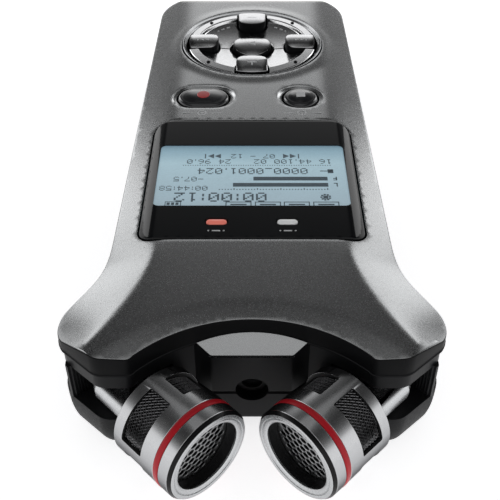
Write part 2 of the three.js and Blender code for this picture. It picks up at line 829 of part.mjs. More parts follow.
const satinGrey = material(0x7d8083, 0.42, 0.55);
const blackPlastic = material(0x1b1c1e, 0.55);
const blackGloss = material(0x101113, 0.12);
const lcdBlue = material(0xbcd2dc, 0.35);
const boardGreen = material(0x1d5a36, 0.6);
const rubberGrey = material(0x3a3c3f, 0.8);
const keyGrey = material(0x55585b, 0.35, 0.35);
const trimMetal = material(0x9a9da0, 0.25, 0.9);
const darkMetal = material(0x4b4e51, 0.22, 0.95);
const steel = material(0xb7babd, 0.28, 1);
const brass = material(0xb08d4a, 0.35, 1);
const redPaint = material(0xa52026, 0.45);
const ledRed = material(0xe0786c, 0.3);
const ledWhite = material(0xe6e6e4, 0.3);
const batterySleeve = material(0x2f4a63, 0.35, 0.3);
const meshSteel = material(0x2a2b2c, 0.5, 0.8);

// ---- assembly ----------------------------------------------------------------------------------

const recorder = new THREE.Group();

function add(name, made, look, parent = recorder) {
  const mesh = new THREE.Mesh(geometryOf(made), look);
  mesh.name = name;
  parent.add(mesh);
  return mesh;
}

add("front_panel", frontPanel(), satinGrey);
add("front_frame", middleFrame(), blackPlastic);
add("rear_case", rearCase(), blackPlastic);
add("battery_cover", batteryCover(), blackPlastic);
add("display_window", displayWindow(), blackGloss);
add("lcd_module", lcdModule(), lcdBlue);
add("rec_led", led(-1), ledRed);
add("peak_led", led(1), ledWhite);
add("main_board", mainBoard(), boardGreen);
add("keypad_mat", keypadMat(), rubberGrey);
add("dial_trim_ring", dialTrimRing(), trimMetal);
add("record_button", roundKey(ROUND_KEYS.recordWidth, -ROUND_KEYS.x), keyGrey);
add("stop_button", roundKey(ROUND_KEYS.d, ROUND_KEYS.x), keyGrey);
add("play_button", playKey(), keyGrey);
ARROWS.forEach((arrow) => add(arrow.name, arrowKey(arrow), keyGrey));
add("menu_key", quarterKey(1, -1), keyGrey);
add("quick_key", quarterKey(-1, -1), keyGrey);
add("mark_key", quarterKey(1, 1), keyGrey);
add("loop_key", quarterKey(-1, 1), keyGrey);
add("volume_up_key", volumeKey(SIDE_KEYS.y[0]), keyGrey);
add("volume_down_key", volumeKey(SIDE_KEYS.y[1]), keyGrey);
add("battery_left", battery(-1), batterySleeve);
add("battery_right", battery(1), batterySleeve);
add("battery_spring_left", contactSpring(-1), steel);
add("battery_spring_right", contactSpring(1), steel);
add("contact_plate", contactPlate(), steel);
add("input_jack", inputJack(), blackPlastic);
add("headphone_jack", headphoneJack(), blackPlastic);
add("usb_port", usbPort(), steel);
add("card_socket", cardSocket(), steel);
add("memory_card", memoryCard(), blackPlastic);
add("card_door", cardDoor(), blackPlastic);
add("card_door_pin", cardDoorPin(), steel);
add("speaker", speaker(), blackPlastic);
add("tripod_insert", tripodInsert(), brass);
SCREWS.forEach((place, i) => add(`rear_screw_${i + 1}`, rearScrew(place), steel));

for (const [side, name] of [
  [-1, "left"],
  [1, "right"],
]) {
  add(`${name}_pivot_pin`, pivotPin(side), steel);
  const head = new THREE.Group();
  head.position.set(side * PIVOT_X, PIVOT_Y, MIC_Z);
  head.rotation.z = THREE.MathUtils.degToRad(-90 - side * MIC_TURN);
  recorder.add(head);
  add(`${name}_mic_arm`, mic.arm(), darkMetal, head);
  add(`${name}_mic_cage`, mic.cage(), darkMetal, head);
  add(`${name}_mic_red_ring`, mic.redRing(), redPaint, head);
  add(`${name}_mic_face_ring`, mic.faceRing(), blackPlastic, head);
  add(`${name}_mic_lip_ring`, mic.lipRing(), steel, head);
  add(`${name}_mic_grille`, mic.grille(), steel, head);
  add(`${name}_mic_mesh`, mic.mesh(), meshSteel, head);
  add(`${name}_mic_capsule`, mic.capsule(), steel, head);
}

export default recorder;
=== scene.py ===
import json
from math import asin, atan2, cos, degrees, floor, hypot, pi, radians, sin, sqrt, tan

import bmesh
import bpy
from mathutils import Matrix, Vector
from mathutils.geometry import delaunay_2d_cdt


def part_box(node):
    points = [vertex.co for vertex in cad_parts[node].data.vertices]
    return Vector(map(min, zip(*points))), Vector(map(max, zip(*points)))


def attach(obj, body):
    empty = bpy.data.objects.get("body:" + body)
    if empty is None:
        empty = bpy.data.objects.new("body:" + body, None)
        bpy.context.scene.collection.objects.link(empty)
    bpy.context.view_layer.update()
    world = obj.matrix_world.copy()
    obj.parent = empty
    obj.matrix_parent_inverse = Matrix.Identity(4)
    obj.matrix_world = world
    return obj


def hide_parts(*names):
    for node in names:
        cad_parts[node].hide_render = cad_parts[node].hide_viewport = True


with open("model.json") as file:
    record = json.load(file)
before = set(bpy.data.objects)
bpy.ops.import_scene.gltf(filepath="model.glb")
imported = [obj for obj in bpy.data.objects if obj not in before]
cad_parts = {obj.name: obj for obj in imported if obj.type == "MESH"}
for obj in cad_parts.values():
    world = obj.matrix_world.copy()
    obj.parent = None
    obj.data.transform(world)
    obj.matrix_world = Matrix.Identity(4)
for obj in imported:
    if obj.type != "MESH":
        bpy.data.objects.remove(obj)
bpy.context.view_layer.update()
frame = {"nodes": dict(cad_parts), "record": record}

# A portable field recorder on its back. Lengths here are millimetres until a mesh is made, in the
# frame's axes: +Z out of the face, -Y the microphone end, +Y the tail.

MM = 0.001

# ---- sizes -------------------------------------------------------------------------------------

FACE_Z = 25.0  # flat middle of the painted face
PANEL_Z = 20.3  # underside of the painted panel
SEAM_Z = 10.0  # between the middle frame and the rear case
TAIL_Y = 79.0
SIDE_DROP, TAIL_DROP, BAY_DROP = 2.4, 1.4, 0.4  # how far the face falls at its edges
TAIL_CREASE_Y, BAY_CREASE_RADIUS = 75.5, 32.2
CREASE_HALF, CREASE_FLARE = 18.1, 10.6
WAIST_Y, WAIST_LENGTH = -36.0, 18.0
BODY_HALF, TAIL_HALF, EAR_HALF = 27.5, 26.2, 34.2
EAR_END_Y = -63.0
EAR_SLANT = Vector((33.0, -57.3)), Vector((27.6, -62.1))
BAY_CENTRE_Y, BAY_RADIUS = -81.0, 27.4
NOSE_Y, NOSE_HALF, JACK_Z = -57.5, 7.2, 10.6
MIC_RADIUS = 8.75
EAR_GAP = (9.0, 16.9)  # from here up to here the ears are open for the arms
DIAL_RING, DIAL_PAD, DIAL_RIM, DIAL_HUB = 18.5, 17.1, 14.6, 5.4
WALL = 1.8
CASE_INSET = 0.6  # how far the black case stands back from the panel's edge
ROOM_FRONT_Y = -46.0  # front wall of the room for the boards
NOSE_BACK_Y = -49.5
COVER_HALF = 16.2
SIDE_SLOT = (8.4, 3.4)
ARROW_HALF = {"plus_button": 4.05, "minus_button": 3.8, "rewind_button": 3.6, "forward_button": 3.6}

BODY_OF = {n: b for b, nodes in frame["record"]["behaviour"]["bodies"].items() for n in nodes}


def low_high(node):
    """A CAD node's lowest and highest corners, in millimetres."""
    lo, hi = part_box(node)
    return lo / MM, hi / MM


def middle(node):
    lo, hi = low_high(node)
    return (lo + hi) / 2


DIAL_Y = middle("play_button").y
PIVOT_X, PIVOT_Y = middle("right_pivot_pin").xy
MIC_Z = middle("right_mic_capsule").z
PANE_LOW, PANE_HIGH = low_high("display_window")
LCD_LOW, LCD_HIGH = Vector((-20.2, PANE_LOW.y + 10.3)), Vector((20.2, PANE_HIGH.y - 10.2))


# ---- plans and profiles ------------------------------------------------------------------------


def clamp(t):
    return max(0.0, min(1.0, t))


def smooth(t):
    t = clamp(t)
    return t * t * (3 - 2 * t)


def arc(cx, cy, r, a0, a1, steps):
    """Points on a circle from a0 to a1 degrees."""
    angles = [radians(a0 + (a1 - a0) * k / steps) for k in range(steps + 1)]
    return [Vector((cx + r * cos(a), cy + r * sin(a))) for a in angles]


def bezier(a, b, c, d, steps):
    out = []
    for k in range(1, steps + 1):
        t = k / steps
        u = 1 - t
        out.append(Vector(a) * u**3 + Vector(b) * 3 * u * u * t
                   + Vector(c) * 3 * u * t * t + Vector(d) * t**3)
    return out


def clean(points, least=0.004):
    """The points without neighbours that coincide."""
    out = [Vector(p) for p in points]
    return [p for i, p in enumerate(out) if (p - out[i - 1]).length > least]


def round_rect(w, h, r, cx=0.0, cy=0.0, steps=8):
    a, b = w / 2 - r, h / 2 - r
    corners = [(a, -b, -90), (a, b, 0), (-a, b, 90), (-a, -b, 180)]
    return clean([p for x, y, s in corners for p in arc(cx + x, cy + y, r, s, s + 90, steps)])


def stadium(w, h, cx=0.0, cy=0.0, steps=10):
    return round_rect(w, h, min(w, h) / 2 - 0.005, cx, cy, steps)


def circle(r, cx=0.0, cy=0.0, steps=48):
    return arc(cx, cy, r, 0, 360, steps)[:-1]


def lifted(plan, z):
    return [Vector((p[0], p[1], z)) for p in plan]


def shift(x, y, z=0.0):
    return Matrix.Translation((x, y, z))


def spin(angle, axis="Z"):
    """A turn by an angle in degrees."""
    return Matrix.Rotation(radians(angle), 4, axis)


def rounded(points, radius, closed=True, steps=4):
    """A polyline whose corners are rounded off."""
    out = []
    last = len(points) - 1
    for i, p in enumerate(points):
        p = Vector(p)
        if not closed and i in (0, last):
            out.append(p)
            continue
        a = Vector(points[i - 1]) - p
        b = Vector(points[(i + 1) % len(points)]) - p
        half = max(0.05, a.angle(b) / 2)
        reach = min(radius / tan(half), a.length * 0.48, b.length * 0.48)
        start, end = p + a.normalized() * reach, p + b.normalized() * reach
        for k in range(steps + 1):
            t = k / steps
            out.append(start * (1 - t) ** 2 + p * (2 * t * (1 - t)) + end * t * t)
    return clean(out)


def inset(points, d):
    """An anticlockwise outline moved inwards by d."""
    out = []
    n = len(points)
    for i, p in enumerate(points):
        a = (p - points[i - 1]).normalized()
        b = (points[(i + 1) % n] - p).normalized()
        normal = Vector((-(a.y + b.y), a.x + b.x)).normalized()
        out.append(p + normal * (d / max(0.6, normal.dot(Vector((-b.y, b.x))))))
    return out


def case_outline(d=0.0, steps=10):
    """The case from above, anticlockwise, moved inwards by d."""
    end = EAR_END_Y + d
    bay = BAY_RADIUS + d
    tip_y = end + 1 - BAY_CENTRE_Y
    tip_x = sqrt(bay * bay - tip_y * tip_y)
    half = [Vector((0, TAIL_Y - d)), Vector((9, TAIL_Y - d)), Vector((17.5 - 0.4 * d, TAIL_Y - d))]
    half += bezier(half[-1], (22.8 - 0.7 * d, TAIL_Y - d),
                   (TAIL_HALF - d, 76 - 0.7 * d), (TAIL_HALF - d, 70 - 0.4 * d), steps)
    for k in range(1, 11):
        t = k / 10
        half.append(Vector((TAIL_HALF + (BODY_HALF - TAIL_HALF) * t - d, 70 - 0.4 * d - (100 - 0.4 * d) * t)))
    half += bezier(half[-1], (BODY_HALF - d, -41 + 0.2 * d), (30.5 - 0.9 * d, -43.3 + 0.4 * d),
                   (EAR_HALF - 0.7 - 0.9 * d, -49.6 + 0.4 * d), steps + 4)
    slant, foot = EAR_SLANT
    half += bezier(half[-1], (EAR_HALF + 0.2 - 0.95 * d, -51.6 + 0.3 * d),
                   (EAR_HALF + 0.6 - 0.9 * d, -54.9 + 0.3 * d),
                   slant + Vector((-0.8 * d, 0.6 * d)), steps)
    bend = foot + Vector((-0.4 * d, 0.9 * d))
    corner = Vector((foot.x - 1.1 - 0.3 * d, end))
    flat = Vector((foot.x - 2.6 - 0.2 * d, end))
    half += [bend]
    half += bezier(bend, bend.lerp(corner, 0.67), flat.lerp(corner, 0.67), flat, 5)
    inner = Vector((tip_x + 0.5, end))
    start, stop = Vector((tip_x + 1.6, end)), Vector((tip_x, end + 1))
    half += [start]
    half += bezier(start, start.lerp(inner, 0.67), stop.lerp(inner, 0.67), stop, 5)
    from_angle = degrees(atan2(tip_y, tip_x))
    half += arc(0, BAY_CENTRE_Y, bay, from_angle, 90, 2 * steps)[1:]
    left = [Vector((-p.x, p.y)) for p in half[1:-1]]
    return list(reversed(half + left[::-1]))


# ---- the face ----------------------------------------------------------------------------------


def crease_x(y):
    """Half width of the flat middle of the face."""
    return CREASE_HALF + CREASE_FLARE * clamp((-31 - y) / 29) ** 1.95


def edge_x(y):
    """Half width of the panel, near enough for its slope."""
    body = BODY_HALF - (y + 30) * (BODY_HALF - TAIL_HALF) / 100
    flare = smooth((WAIST_Y - y) / WAIST_LENGTH)
    return body + (EAR_HALF + 0.2 - body) * flare


def ramp(s, softness):
    """0 below a crease and s above it, blended over the softness."""
    return (s + sqrt(s * s + softness * softness)) / 2


def face_height(x, y):
    """The painted face: flat in the middle, falling to the sides, the tail and the bay."""
    ax = abs(x)
    crease = crease_x(y)
    soft_side = 0.03 + 0.12 * smooth((y + 37) / 6) + 0.35 * smooth((y - 5) / 50)
    drop = SIDE_DROP * ramp((ax - crease) / (edge_x(y) - crease), soft_side)
    tail = TAIL_DROP * ramp((y - TAIL_CREASE_Y) / (TAIL_Y - TAIL_CREASE_Y), 0.12)
    away = hypot(x, y - BAY_CENTRE_Y)
    bay = BAY_DROP * ramp((BAY_CREASE_RADIUS - away) / (BAY_CREASE_RADIUS - BAY_RADIUS), 0.08)
    r = hypot(x, y - DIAL_Y)
    swell = 0.3 * smooth((22.3 - r) / 3.4)
    return FACE_Z - max(drop, tail, bay) + swell


# ---- solids ------------------------------------------------------------------------------------


class Shape:
    """Points in millimetres, faces, and a material number for each face."""

    def __init__(self):
        self.points, self.faces, self.looks = [], [], []

    def ring(self, points, z=None):
        start = len(self.points)
        self.points += [Vector(p) if z is None else Vector((p[0], p[1], z)) for p in points]
        return list(range(start, len(self.points)))

    def face(self, indices, look=0):
        self.faces.append(tuple(indices))
        self.looks.append(look)

    def bridge(self, a, b, look=0):
        for i in range(len(a)):
            j = (i + 1) % len(a)
            self.face((a[i], a[j], b[j], b[i]), look)

    def skin(self, rings, caps=True, looks=None):
        made = [self.ring(r) for r in rings]
        for k in range(len(made) - 1):
            self.bridge(made[k], made[k + 1], looks[k] if looks else 0)
        if caps:
            self.face(made[0][::-1], looks[0] if looks else 0)
            self.face(made[-1], looks[-1] if looks else 0)
        return made

    def add(self, other, matrix=None, look=None):
        start = len(self.points)
        self.points += [matrix @ p if matrix else p.copy() for p in other.points]
        for f, m in zip(other.faces, other.looks):
            self.face([i + start for i in f], m if look is None else look)
        return self

    def moved(self, matrix):
        return Shape().add(self, matrix)


def joined(shapes):
    whole = Shape()
    for shape in shapes:
        whole.add(shape)
    return whole


def lathe(profile, sides=96):
    """A closed or axis-to-axis profile of (radius, height) turned about +Z."""
    shape = Shape()
    rings = []
    for k in range(sides):
        a = 2 * pi * k / sides
        c, s = cos(a), sin(a)
        rings.append(shape.ring([(r * c, r * s, z) for r, z in profile]))
    for k in range(sides):
        shape.bridge(rings[k], rings[(k + 1) % sides])
    return shape


def plate(plan, z0, z1, top=0.3, bottom=0.15, crown=0.0, steps=4):
    """A flat solid with rounded rims, its upper face crowned towards the middle."""
    plan = clean(plan)
    centre = sum(plan, Vector((0, 0))) / len(plan)
    quarter = [pi / 2 * k / steps for k in range(steps + 1)]
    levels = [(inset(plan, bottom + 0.05), z0)] if bottom else [(plan, z0)]
    if bottom:
        levels += [(inset(plan, bottom * (1 - sin(a))), z0 + bottom * (1 - cos(a)))
                   for a in quarter]
    levels += [(inset(plan, top * (1 - cos(a))), z1 - top * (1 - sin(a))) for a in quarter]
    inner = inset(plan, top + 0.08)
    for s in [1 - k / 7 for k in range(7)] if crown else [1]:
        levels.append(([centre + (p - centre) * s for p in inner], z1 + crown * (1 - s * s)))
    shape = Shape()
    shape.skin([lifted(points, z) for points, z in levels])
    return shape


def prism(plan, z0, z1):
    shape = Shape()
    shape.skin([lifted(plan, z) for z in (z0, z1)])
    return shape


def slab(x0, x1, y0, y1, z0, z1):
    return prism([(x0, y0), (x1, y0), (x1, y1), (x0, y1)], z0, z1)


def rod(axis, r, start, end, a, b, sides=32):
    """A cylinder along x, y or z; a and b are its place on the other two axes."""
    shape = prism(circle(r, steps=sides), start, end)
    places = {"x": shift(0, a, b) @ spin(90, "Y"), "y": shift(a, 0, b) @ spin(-90, "X"), "z": shift(a, b)}
    return shape.moved(places[axis])


def mirrored(shape):
    other = shape.moved(Matrix.Scale(-1, 4, Vector((1, 0, 0))))
    other.faces = [f[::-1] for f in other.faces]
    return other


# Takes a shape drawn in (x, y, z) to one whose x, y and z lie along +Y, +Z and +X.
ON_SIDE = Matrix(((0, 0, 1, 0), (1, 0, 0, 0), (0, 1, 0, 0), (0, 0, 0, 1)))


def mesh_of(name, shape):
    mesh = bpy.data.meshes.new(name)
    mesh.from_pydata([p * MM for p in shape.points], [], shape.faces)
    mesh.polygons.foreach_set("material_index", shape.looks)
    bm = bmesh.new()
    bm.from_mesh(mesh)
    bmesh.ops.remove_doubles(bm, verts=bm.verts, dist=1e-7)
    bmesh.ops.dissolve_degenerate(bm, edges=bm.edges, dist=1e-8)
    bmesh.ops.recalc_face_normals(bm, faces=bm.faces)
    bm.to_mesh(mesh)
    bm.free()
    return mesh


def link(name, mesh):
    obj = bpy.data.objects.new(name, mesh)
    bpy.context.scene.collection.objects.link(obj)
    return obj


def piece(name, shape, looks, nodes=(), like=None, bevel=0.0, sharp=38, cuts=(), repaint=None):
    """A finished piece. It rides with the first CAD node that it stands for, or with like."""
    obj = link(name, mesh_of(name, shape))
    tools = []
    for k, tool in enumerate(cuts):
        cutter = link(f"cutter_{k}", mesh_of(f"cutter_{k}", tool))
        mod = obj.modifiers.new("cut", "BOOLEAN")
        mod.operation, mod.solver, mod.object = "DIFFERENCE", "MANIFOLD", cutter
        tools.append(cutter)
    if bevel:
        mod = obj.modifiers.new("bevel", "BEVEL")
        mod.width, mod.segments, mod.limit_method = bevel * MM, 2, "ANGLE"
        mod.angle_limit = radians(32)
        mod.use_clamp_overlap = True
        mod.harden_normals = False
    if obj.modifiers:
        graph = bpy.context.evaluated_depsgraph_get()
        made = bpy.data.meshes.new_from_object(obj.evaluated_get(graph))
        obj.modifiers.clear()
        obj.data = made
        for cutter in tools:
            bpy.data.objects.remove(cutter)
    mesh = obj.data
    mesh.name = name
    kept = [p.material_index for p in mesh.polygons]
    mesh.materials.clear()
    for look in looks if isinstance(looks, (list, tuple)) else [looks]:
        mesh.materials.append(look)
    mesh.polygons.foreach_set("material_index", kept)
    if repaint:
        for polygon in mesh.polygons:
            polygon.material_index = repaint(polygon.center / MM, polygon.normal)
    mesh.polygons.foreach_set("use_smooth", [True] * len(mesh.polygons))
    mesh.set_sharp_from_angle(angle=radians(sharp))
    if bevel:
        mod = obj.modifiers.new("even normals", "WEIGHTED_NORMAL")
        mod.keep_sharp = True
    node = nodes[0] if nodes else like
    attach(obj, BODY_OF[node])
    if nodes:
        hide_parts(*nodes)
    return obj


def fill(loops, spacing, inside):
    """Triangles between outlines, on a staggered grid: points and faces. loops keep their order."""
    points, edges = [], []
    for loop in loops:
        start = len(points)
        points += [Vector(p) for p in loop]
        edges += [(start + i, start + (i + 1) % len(loop)) for i in range(len(loop))]
    lo_x, hi_x = min(p.x for p in loops[0]), max(p.x for p in loops[0])
    lo_y, hi_y = min(p.y for p in loops[0]), max(p.y for p in loops[0])
    near = {}
    for p in points:
        near.setdefault((round(p.x / spacing), round(p.y / spacing)), []).append(p)
    rows = int((hi_y - lo_y) / (spacing * 0.866)) + 1
    for j in range(rows):
        y = lo_y + j * spacing * 0.866
        for i in range(int((hi_x - lo_x) / spacing) + 2):
            p = Vector((lo_x + (i + 0.5 * (j % 2)) * spacing, y))
            cell = (round(p.x / spacing), round(p.y / spacing))
            crowd = [q for a in (-1, 0, 1) for b in (-1, 0, 1)
                     for q in near.get((cell[0] + a, cell[1] + b), [])]
            if all((p - q).length > 0.45 * spacing for q in crowd) and inside(p.x, p.y):
                points.append(p)
    made = delaunay_2d_cdt(points, edges, [], 0, 1e-6)
    faces = []
    for f in made[2]:
        c = sum((made[0][i] for i in f), Vector((0, 0))) / 3
        if inside(c.x, c.y):
            faces.append(tuple(f))
    index = {}
    for new, olds in enumerate(made[3]):
        for old in olds:
            index[old] = new
    rings, start = [], 0
    for loop in loops:
        rings.append([index[start + i] for i in range(len(loop))])
        start += len(loop)
    return made[0], faces, rings


def within(loop):
    """A quick test of whether a point is inside an outline."""
    pairs = [(a, loop[(i + 1) % len(loop)]) for i, a in enumerate(loop)]
    bands = {}
    for a, b in pairs:
        for k in range(floor(min(a.y, b.y)), floor(max(a.y, b.y)) + 1):
            bands.setdefault(k, []).append((a, b))

    def test(x, y):
        odd = False
        for a, b in bands.get(floor(y), ()):
            if (a.y > y) != (b.y > y) and x < a.x + (y - a.y) / (b.y - a.y) * (b.x - a.x):
                odd = not odd
        return odd

    return test


def fill_around(outer, holes, spacing):
    tests = [within(loop) for loop in [outer] + holes]
    return fill([outer] + holes, spacing,
                lambda x, y: tests[0](x, y) and not any(t(x, y) for t in tests[1:]))


def sheet(filling, height, bottom):
    """Both faces of a thin solid, and the rings of its upper and of its lower outlines."""
    points, faces, rings = filling
    shape = Shape()
    shape.ring([(p.x, p.y, height(p.x, p.y)) for p in points])
    start = len(shape.points)
    shape.ring(points, bottom)
    for f in faces:
        shape.face(f)
        shape.face([i + start for i in f[::-1]])
    return shape, rings, [[i + start for i in ring] for ring in rings]


def round_over(shape, start, edge_at, r, height, black_from=9):
    """From a ring on a face over its rounded edge; edge_at(d) is the edge moved back by d."""
    last = start
    for k in range(1, 5):
        a = pi / 2 * k / 4
        down = r * (1 - cos(a))
        level = edge_at(r * (1 - sin(a)))
        nxt = shape.ring([(p.x, p.y, height(p.x, p.y) - down) for p in level])
        shape.bridge(last, nxt, 1 if k >= black_from else 0)
        last = nxt
    return last


# ---- materials ---------------------------------------------------------------------------------


def calc(tree, kind, *values):
    """A Math node's result. The values are numbers or other nodes' outputs."""
    node = tree.nodes.new("ShaderNodeMath")
    node.operation = kind
    for socket, value in zip(node.inputs, values):
        if isinstance(value, (int, float)):
            socket.default_value = value
        else:
            tree.links.new(value, socket)
    return node.outputs[0]


def axes(tree, kind):
    """The x, y and z of a texture coordinate."""
    split = tree.nodes.new("ShaderNodeSeparateXYZ")
    tree.links.new(tree.nodes.new("ShaderNodeTexCoord").outputs[kind], split.inputs[0])
    return split.outputs


def gradient(tree, value, stops, interpolation="LINEAR"):
    """A value turned into a colour. The stops are (position, colour), lowest first."""
    node = tree.nodes.new("ShaderNodeValToRGB")
    tree.links.new(value, node.inputs[0])
    ramp = node.color_ramp
    ramp.interpolation = interpolation
    while len(ramp.elements) < len(stops):
        ramp.elements.new(1.0)
    for stop, (at, color) in zip(ramp.elements, stops):
        stop.position, stop.color = at, (*color, 1)
    return node.outputs[0]


def surface(name, color, rough, metallic=0.0, coat=0.0, coat_rough=0.06, glow=0.0, shine=0.5, rim=1.0,
            layers=()):
    """A Principled material. Each layer is (kind, size in mm, tone, roughness, height in mm):
    how much its pattern changes the colour and the roughness, and how high it stands."""
    mat = bpy.data.materials.new(name)
    mat.use_nodes = True
    tree = mat.node_tree
    bsdf = tree.nodes["Principled BSDF"]
    bsdf.inputs["Metallic"].default_value = metallic
    bsdf.inputs["Coat Weight"].default_value = coat
    bsdf.inputs["Coat Roughness"].default_value = coat_rough
    bsdf.inputs["Specular IOR Level"].default_value = shine
    bsdf.inputs["Specular Tint"].default_value = (rim, rim, rim, 1)
    if glow:
        bsdf.inputs["Emission Color"].default_value = (*color, 1)
        bsdf.inputs["Emission Strength"].default_value = glow
    coords = tree.nodes.new("ShaderNodeTexCoord").outputs["Object"]

    gain, roughness, normal = 1.0, rough, None
    for kind, size, tone, rough_by, height in layers:
        value = pattern(tree, coords, kind, size)
        signed = calc(tree, "MULTIPLY_ADD", value, 2.0, -1.0)
        if tone:
            gain = calc(tree, "MULTIPLY", calc(tree, "MULTIPLY_ADD", signed, tone, 1.0), gain)
        if rough_by:
            roughness = calc(tree, "ADD", calc(tree, "MULTIPLY", signed, rough_by), roughness)
        if height:
            bump = tree.nodes.new("ShaderNodeBump")
            bump.inputs["Strength"].default_value = 1.0
            bump.inputs["Distance"].default_value = height * MM
            tree.links.new(value, bump.inputs["Height"])
            if normal:
                tree.links.new(normal, bump.inputs["Normal"])
            normal = bump.outputs[0]
    scale = tree.nodes.new("ShaderNodeVectorMath")
    scale.operation = "SCALE"
    scale.inputs[0].default_value = color
    if isinstance(gain, float):
        scale.inputs["Scale"].default_value = gain
    else:
        tree.links.new(gain, scale.inputs["Scale"])
    tree.links.new(scale.outputs[0], bsdf.inputs["Base Color"])
    if isinstance(roughness, float):
        bsdf.inputs["Roughness"].default_value = roughness
    else:
        held = tree.nodes.new("ShaderNodeClamp")
        held.inputs["Min"].default_value, held.inputs["Max"].default_value = 0.02, 0.95
        tree.links.new(roughness, held.inputs["Value"])
        tree.links.new(held.outputs[0], bsdf.inputs["Roughness"])
    if normal:
        tree.links.new(normal, bsdf.inputs["Normal"])
    return mat


STRETCH = {"streaks_x": (0.03, 1, 1), "streaks_y": (1, 0.03, 1), "streaks_z": (1, 1, 0.03)}


def pattern(tree, coords, kind, size):
    """A texture's value from 0 to 1: noise, cells, or noise drawn out into streaks."""
    mapping = tree.nodes.new("ShaderNodeMapping")
    mapping.inputs["Scale"].default_value = STRETCH.get(kind, (1, 1, 1))
    tree.links.new(coords, mapping.inputs["Vector"])
    if kind == "cells":
        node = tree.nodes.new("ShaderNodeTexVoronoi")
        node.inputs["Scale"].default_value = 1 / (size * MM)
        tree.links.new(mapping.outputs[0], node.inputs["Vector"])
        split = tree.nodes.new("ShaderNodeSeparateColor")
        tree.links.new(node.outputs["Color"], split.inputs[0])
        return split.outputs[0]
    node = tree.nodes.new("ShaderNodeTexNoise")
    node.inputs["Scale"].default_value = 1 / (size * MM)
    node.inputs["Detail"].default_value = 4.0
    tree.links.new(mapping.outputs[0], node.inputs["Vector"])
    return node.outputs[0]


GREY_PAINT = surface(
    "grey_paint", (0.37, 0.377, 0.382), 0.25, metallic=1.0, coat=0.25, coat_rough=0.22,
    layers=[("cells", 0.14, 0.1, 0.03, 0.002), ("noise", 0.5, 0.03, 0.02, 0.0015),
            ("noise", 30, 0.03, 0.02, 0)])
KEY_PAINT = surface(
    "key_paint", (0.68, 0.685, 0.695), 0.15, metallic=1.0,
    layers=[("cells", 0.14, 0.08, 0.03, 0.002), ("noise", 3, 0.04, 0.03, 0)])
BLACK_SATIN = surface(
    "black_satin", (0.007, 0.0072, 0.008), 0.38, shine=0.1,
    layers=[("noise", 0.22, 0.12, 0.05, 0.006), ("noise", 14, 0.08, 0.05, 0)])
BLACK_TEXTURE = surface(
    "black_texture", (0.008, 0.0082, 0.009), 0.48, shine=0.1,
    layers=[("cells", 0.3, 0.15, 0.06, 0.012), ("noise", 9, 0.1, 0.06, 0)])
WALL_BLACK = surface(
    "wall_black", (0.0035, 0.0036, 0.004), 0.4, shine=0.06,
    layers=[("noise", 0.3, 0.12, 0.05, 0.004), ("noise", 11, 0.08, 0.05, 0)])
WINDOW_GLOSS = surface(
    "window_gloss", (0.006, 0.0065, 0.0075), 0.1, shine=0.25,
    layers=[("noise", 18, 0.15, 0.03, 0), ("noise", 1.2, 0.05, 0.015, 0)])
TRIM_METAL = surface(
    "trim_metal", (0.5, 0.51, 0.52), 0.24, metallic=1.0,
    layers=[("noise", 0.3, 0.05, 0.05, 0.002), ("noise", 5, 0.04, 0.04, 0)])
SMOKED = surface(
    "smoked_gloss", (0.03, 0.031, 0.034), 0.14, metallic=0.35, coat=0.8, coat_rough=0.05,
    layers=[("noise", 4, 0.12, 0.03, 0), ("noise", 0.4, 0.05, 0.02, 0.0005)])
BAND_BLACK = surface(
    "band_black", (0.006, 0.006, 0.0065), 0.22, shine=0.15,
    layers=[("noise", 4, 0.12, 0.03, 0), ("noise", 0.4, 0.05, 0.02, 0.0005)])
DARK_CHROME = surface(
    "dark_chrome", (0.5, 0.505, 0.515), 0.2, metallic=1.0, rim=0.2,
    layers=[("noise", 0.35, 0.05, 0.035, 0.0015), ("noise", 6, 0.06, 0.04, 0)])
GRILLE_SILVER = surface(
    "grille_silver", (0.33, 0.335, 0.34), 0.3, metallic=1.0, rim=0.5,
    layers=[("cells", 0.12, 0.05, 0.05, 0.003), ("noise", 4, 0.04, 0.05, 0)])
SATIN_SILVER = surface(
    "satin_silver", (0.55, 0.56, 0.57), 0.28, metallic=1.0, rim=0.5,
    layers=[("cells", 0.12, 0.05, 0.05, 0.003), ("noise", 4, 0.04, 0.05, 0)])
RED_RING = surface(
    "red_ring", (0.42, 0.01, 0.018), 0.34, shine=0.2,
    layers=[("noise", 0.5, 0.08, 0.06, 0.002), ("noise", 5, 0.06, 0.05, 0)])
LINER_BLACK = surface(
    "liner_black", (0.012, 0.012, 0.0125), 0.42, shine=0.25,
    layers=[("noise", 0.4, 0.2, 0.08, 0.004), ("noise", 3, 0.1, 0.05, 0)])
WIRE_BLACK = surface(
    "wire_black", (0.13, 0.13, 0.135), 0.3, metallic=1.0,
    layers=[("noise", 0.3, 0.25, 0.1, 0.002), ("noise", 2, 0.1, 0.06, 0)])
STEEL = surface(
    "plated_steel", (0.56, 0.565, 0.57), 0.26, metallic=1.0,
    layers=[("streaks_z", 0.3, 0.06, 0.08, 0.002), ("noise", 3, 0.06, 0.06, 0)])
TINNED = surface(
    "tinned_sheet", (0.5, 0.505, 0.51), 0.33, metallic=1.0,
    layers=[("streaks_x", 0.25, 0.07, 0.08, 0.002), ("noise", 2, 0.06, 0.06, 0)])
BRASS = surface(
    "turned_brass", (0.62, 0.44, 0.17), 0.3, metallic=1.0,
    layers=[("streaks_y", 0.2, 0.06, 0.08, 0.002), ("noise", 2, 0.08, 0.06, 0)])
BOARD = surface(
    "solder_mask", (0.012, 0.1, 0.045), 0.35, coat=0.3, coat_rough=0.2,
    layers=[("cells", 1.4, 0.2, 0.05, 0.02), ("noise", 0.5, 0.1, 0.05, 0.004)])
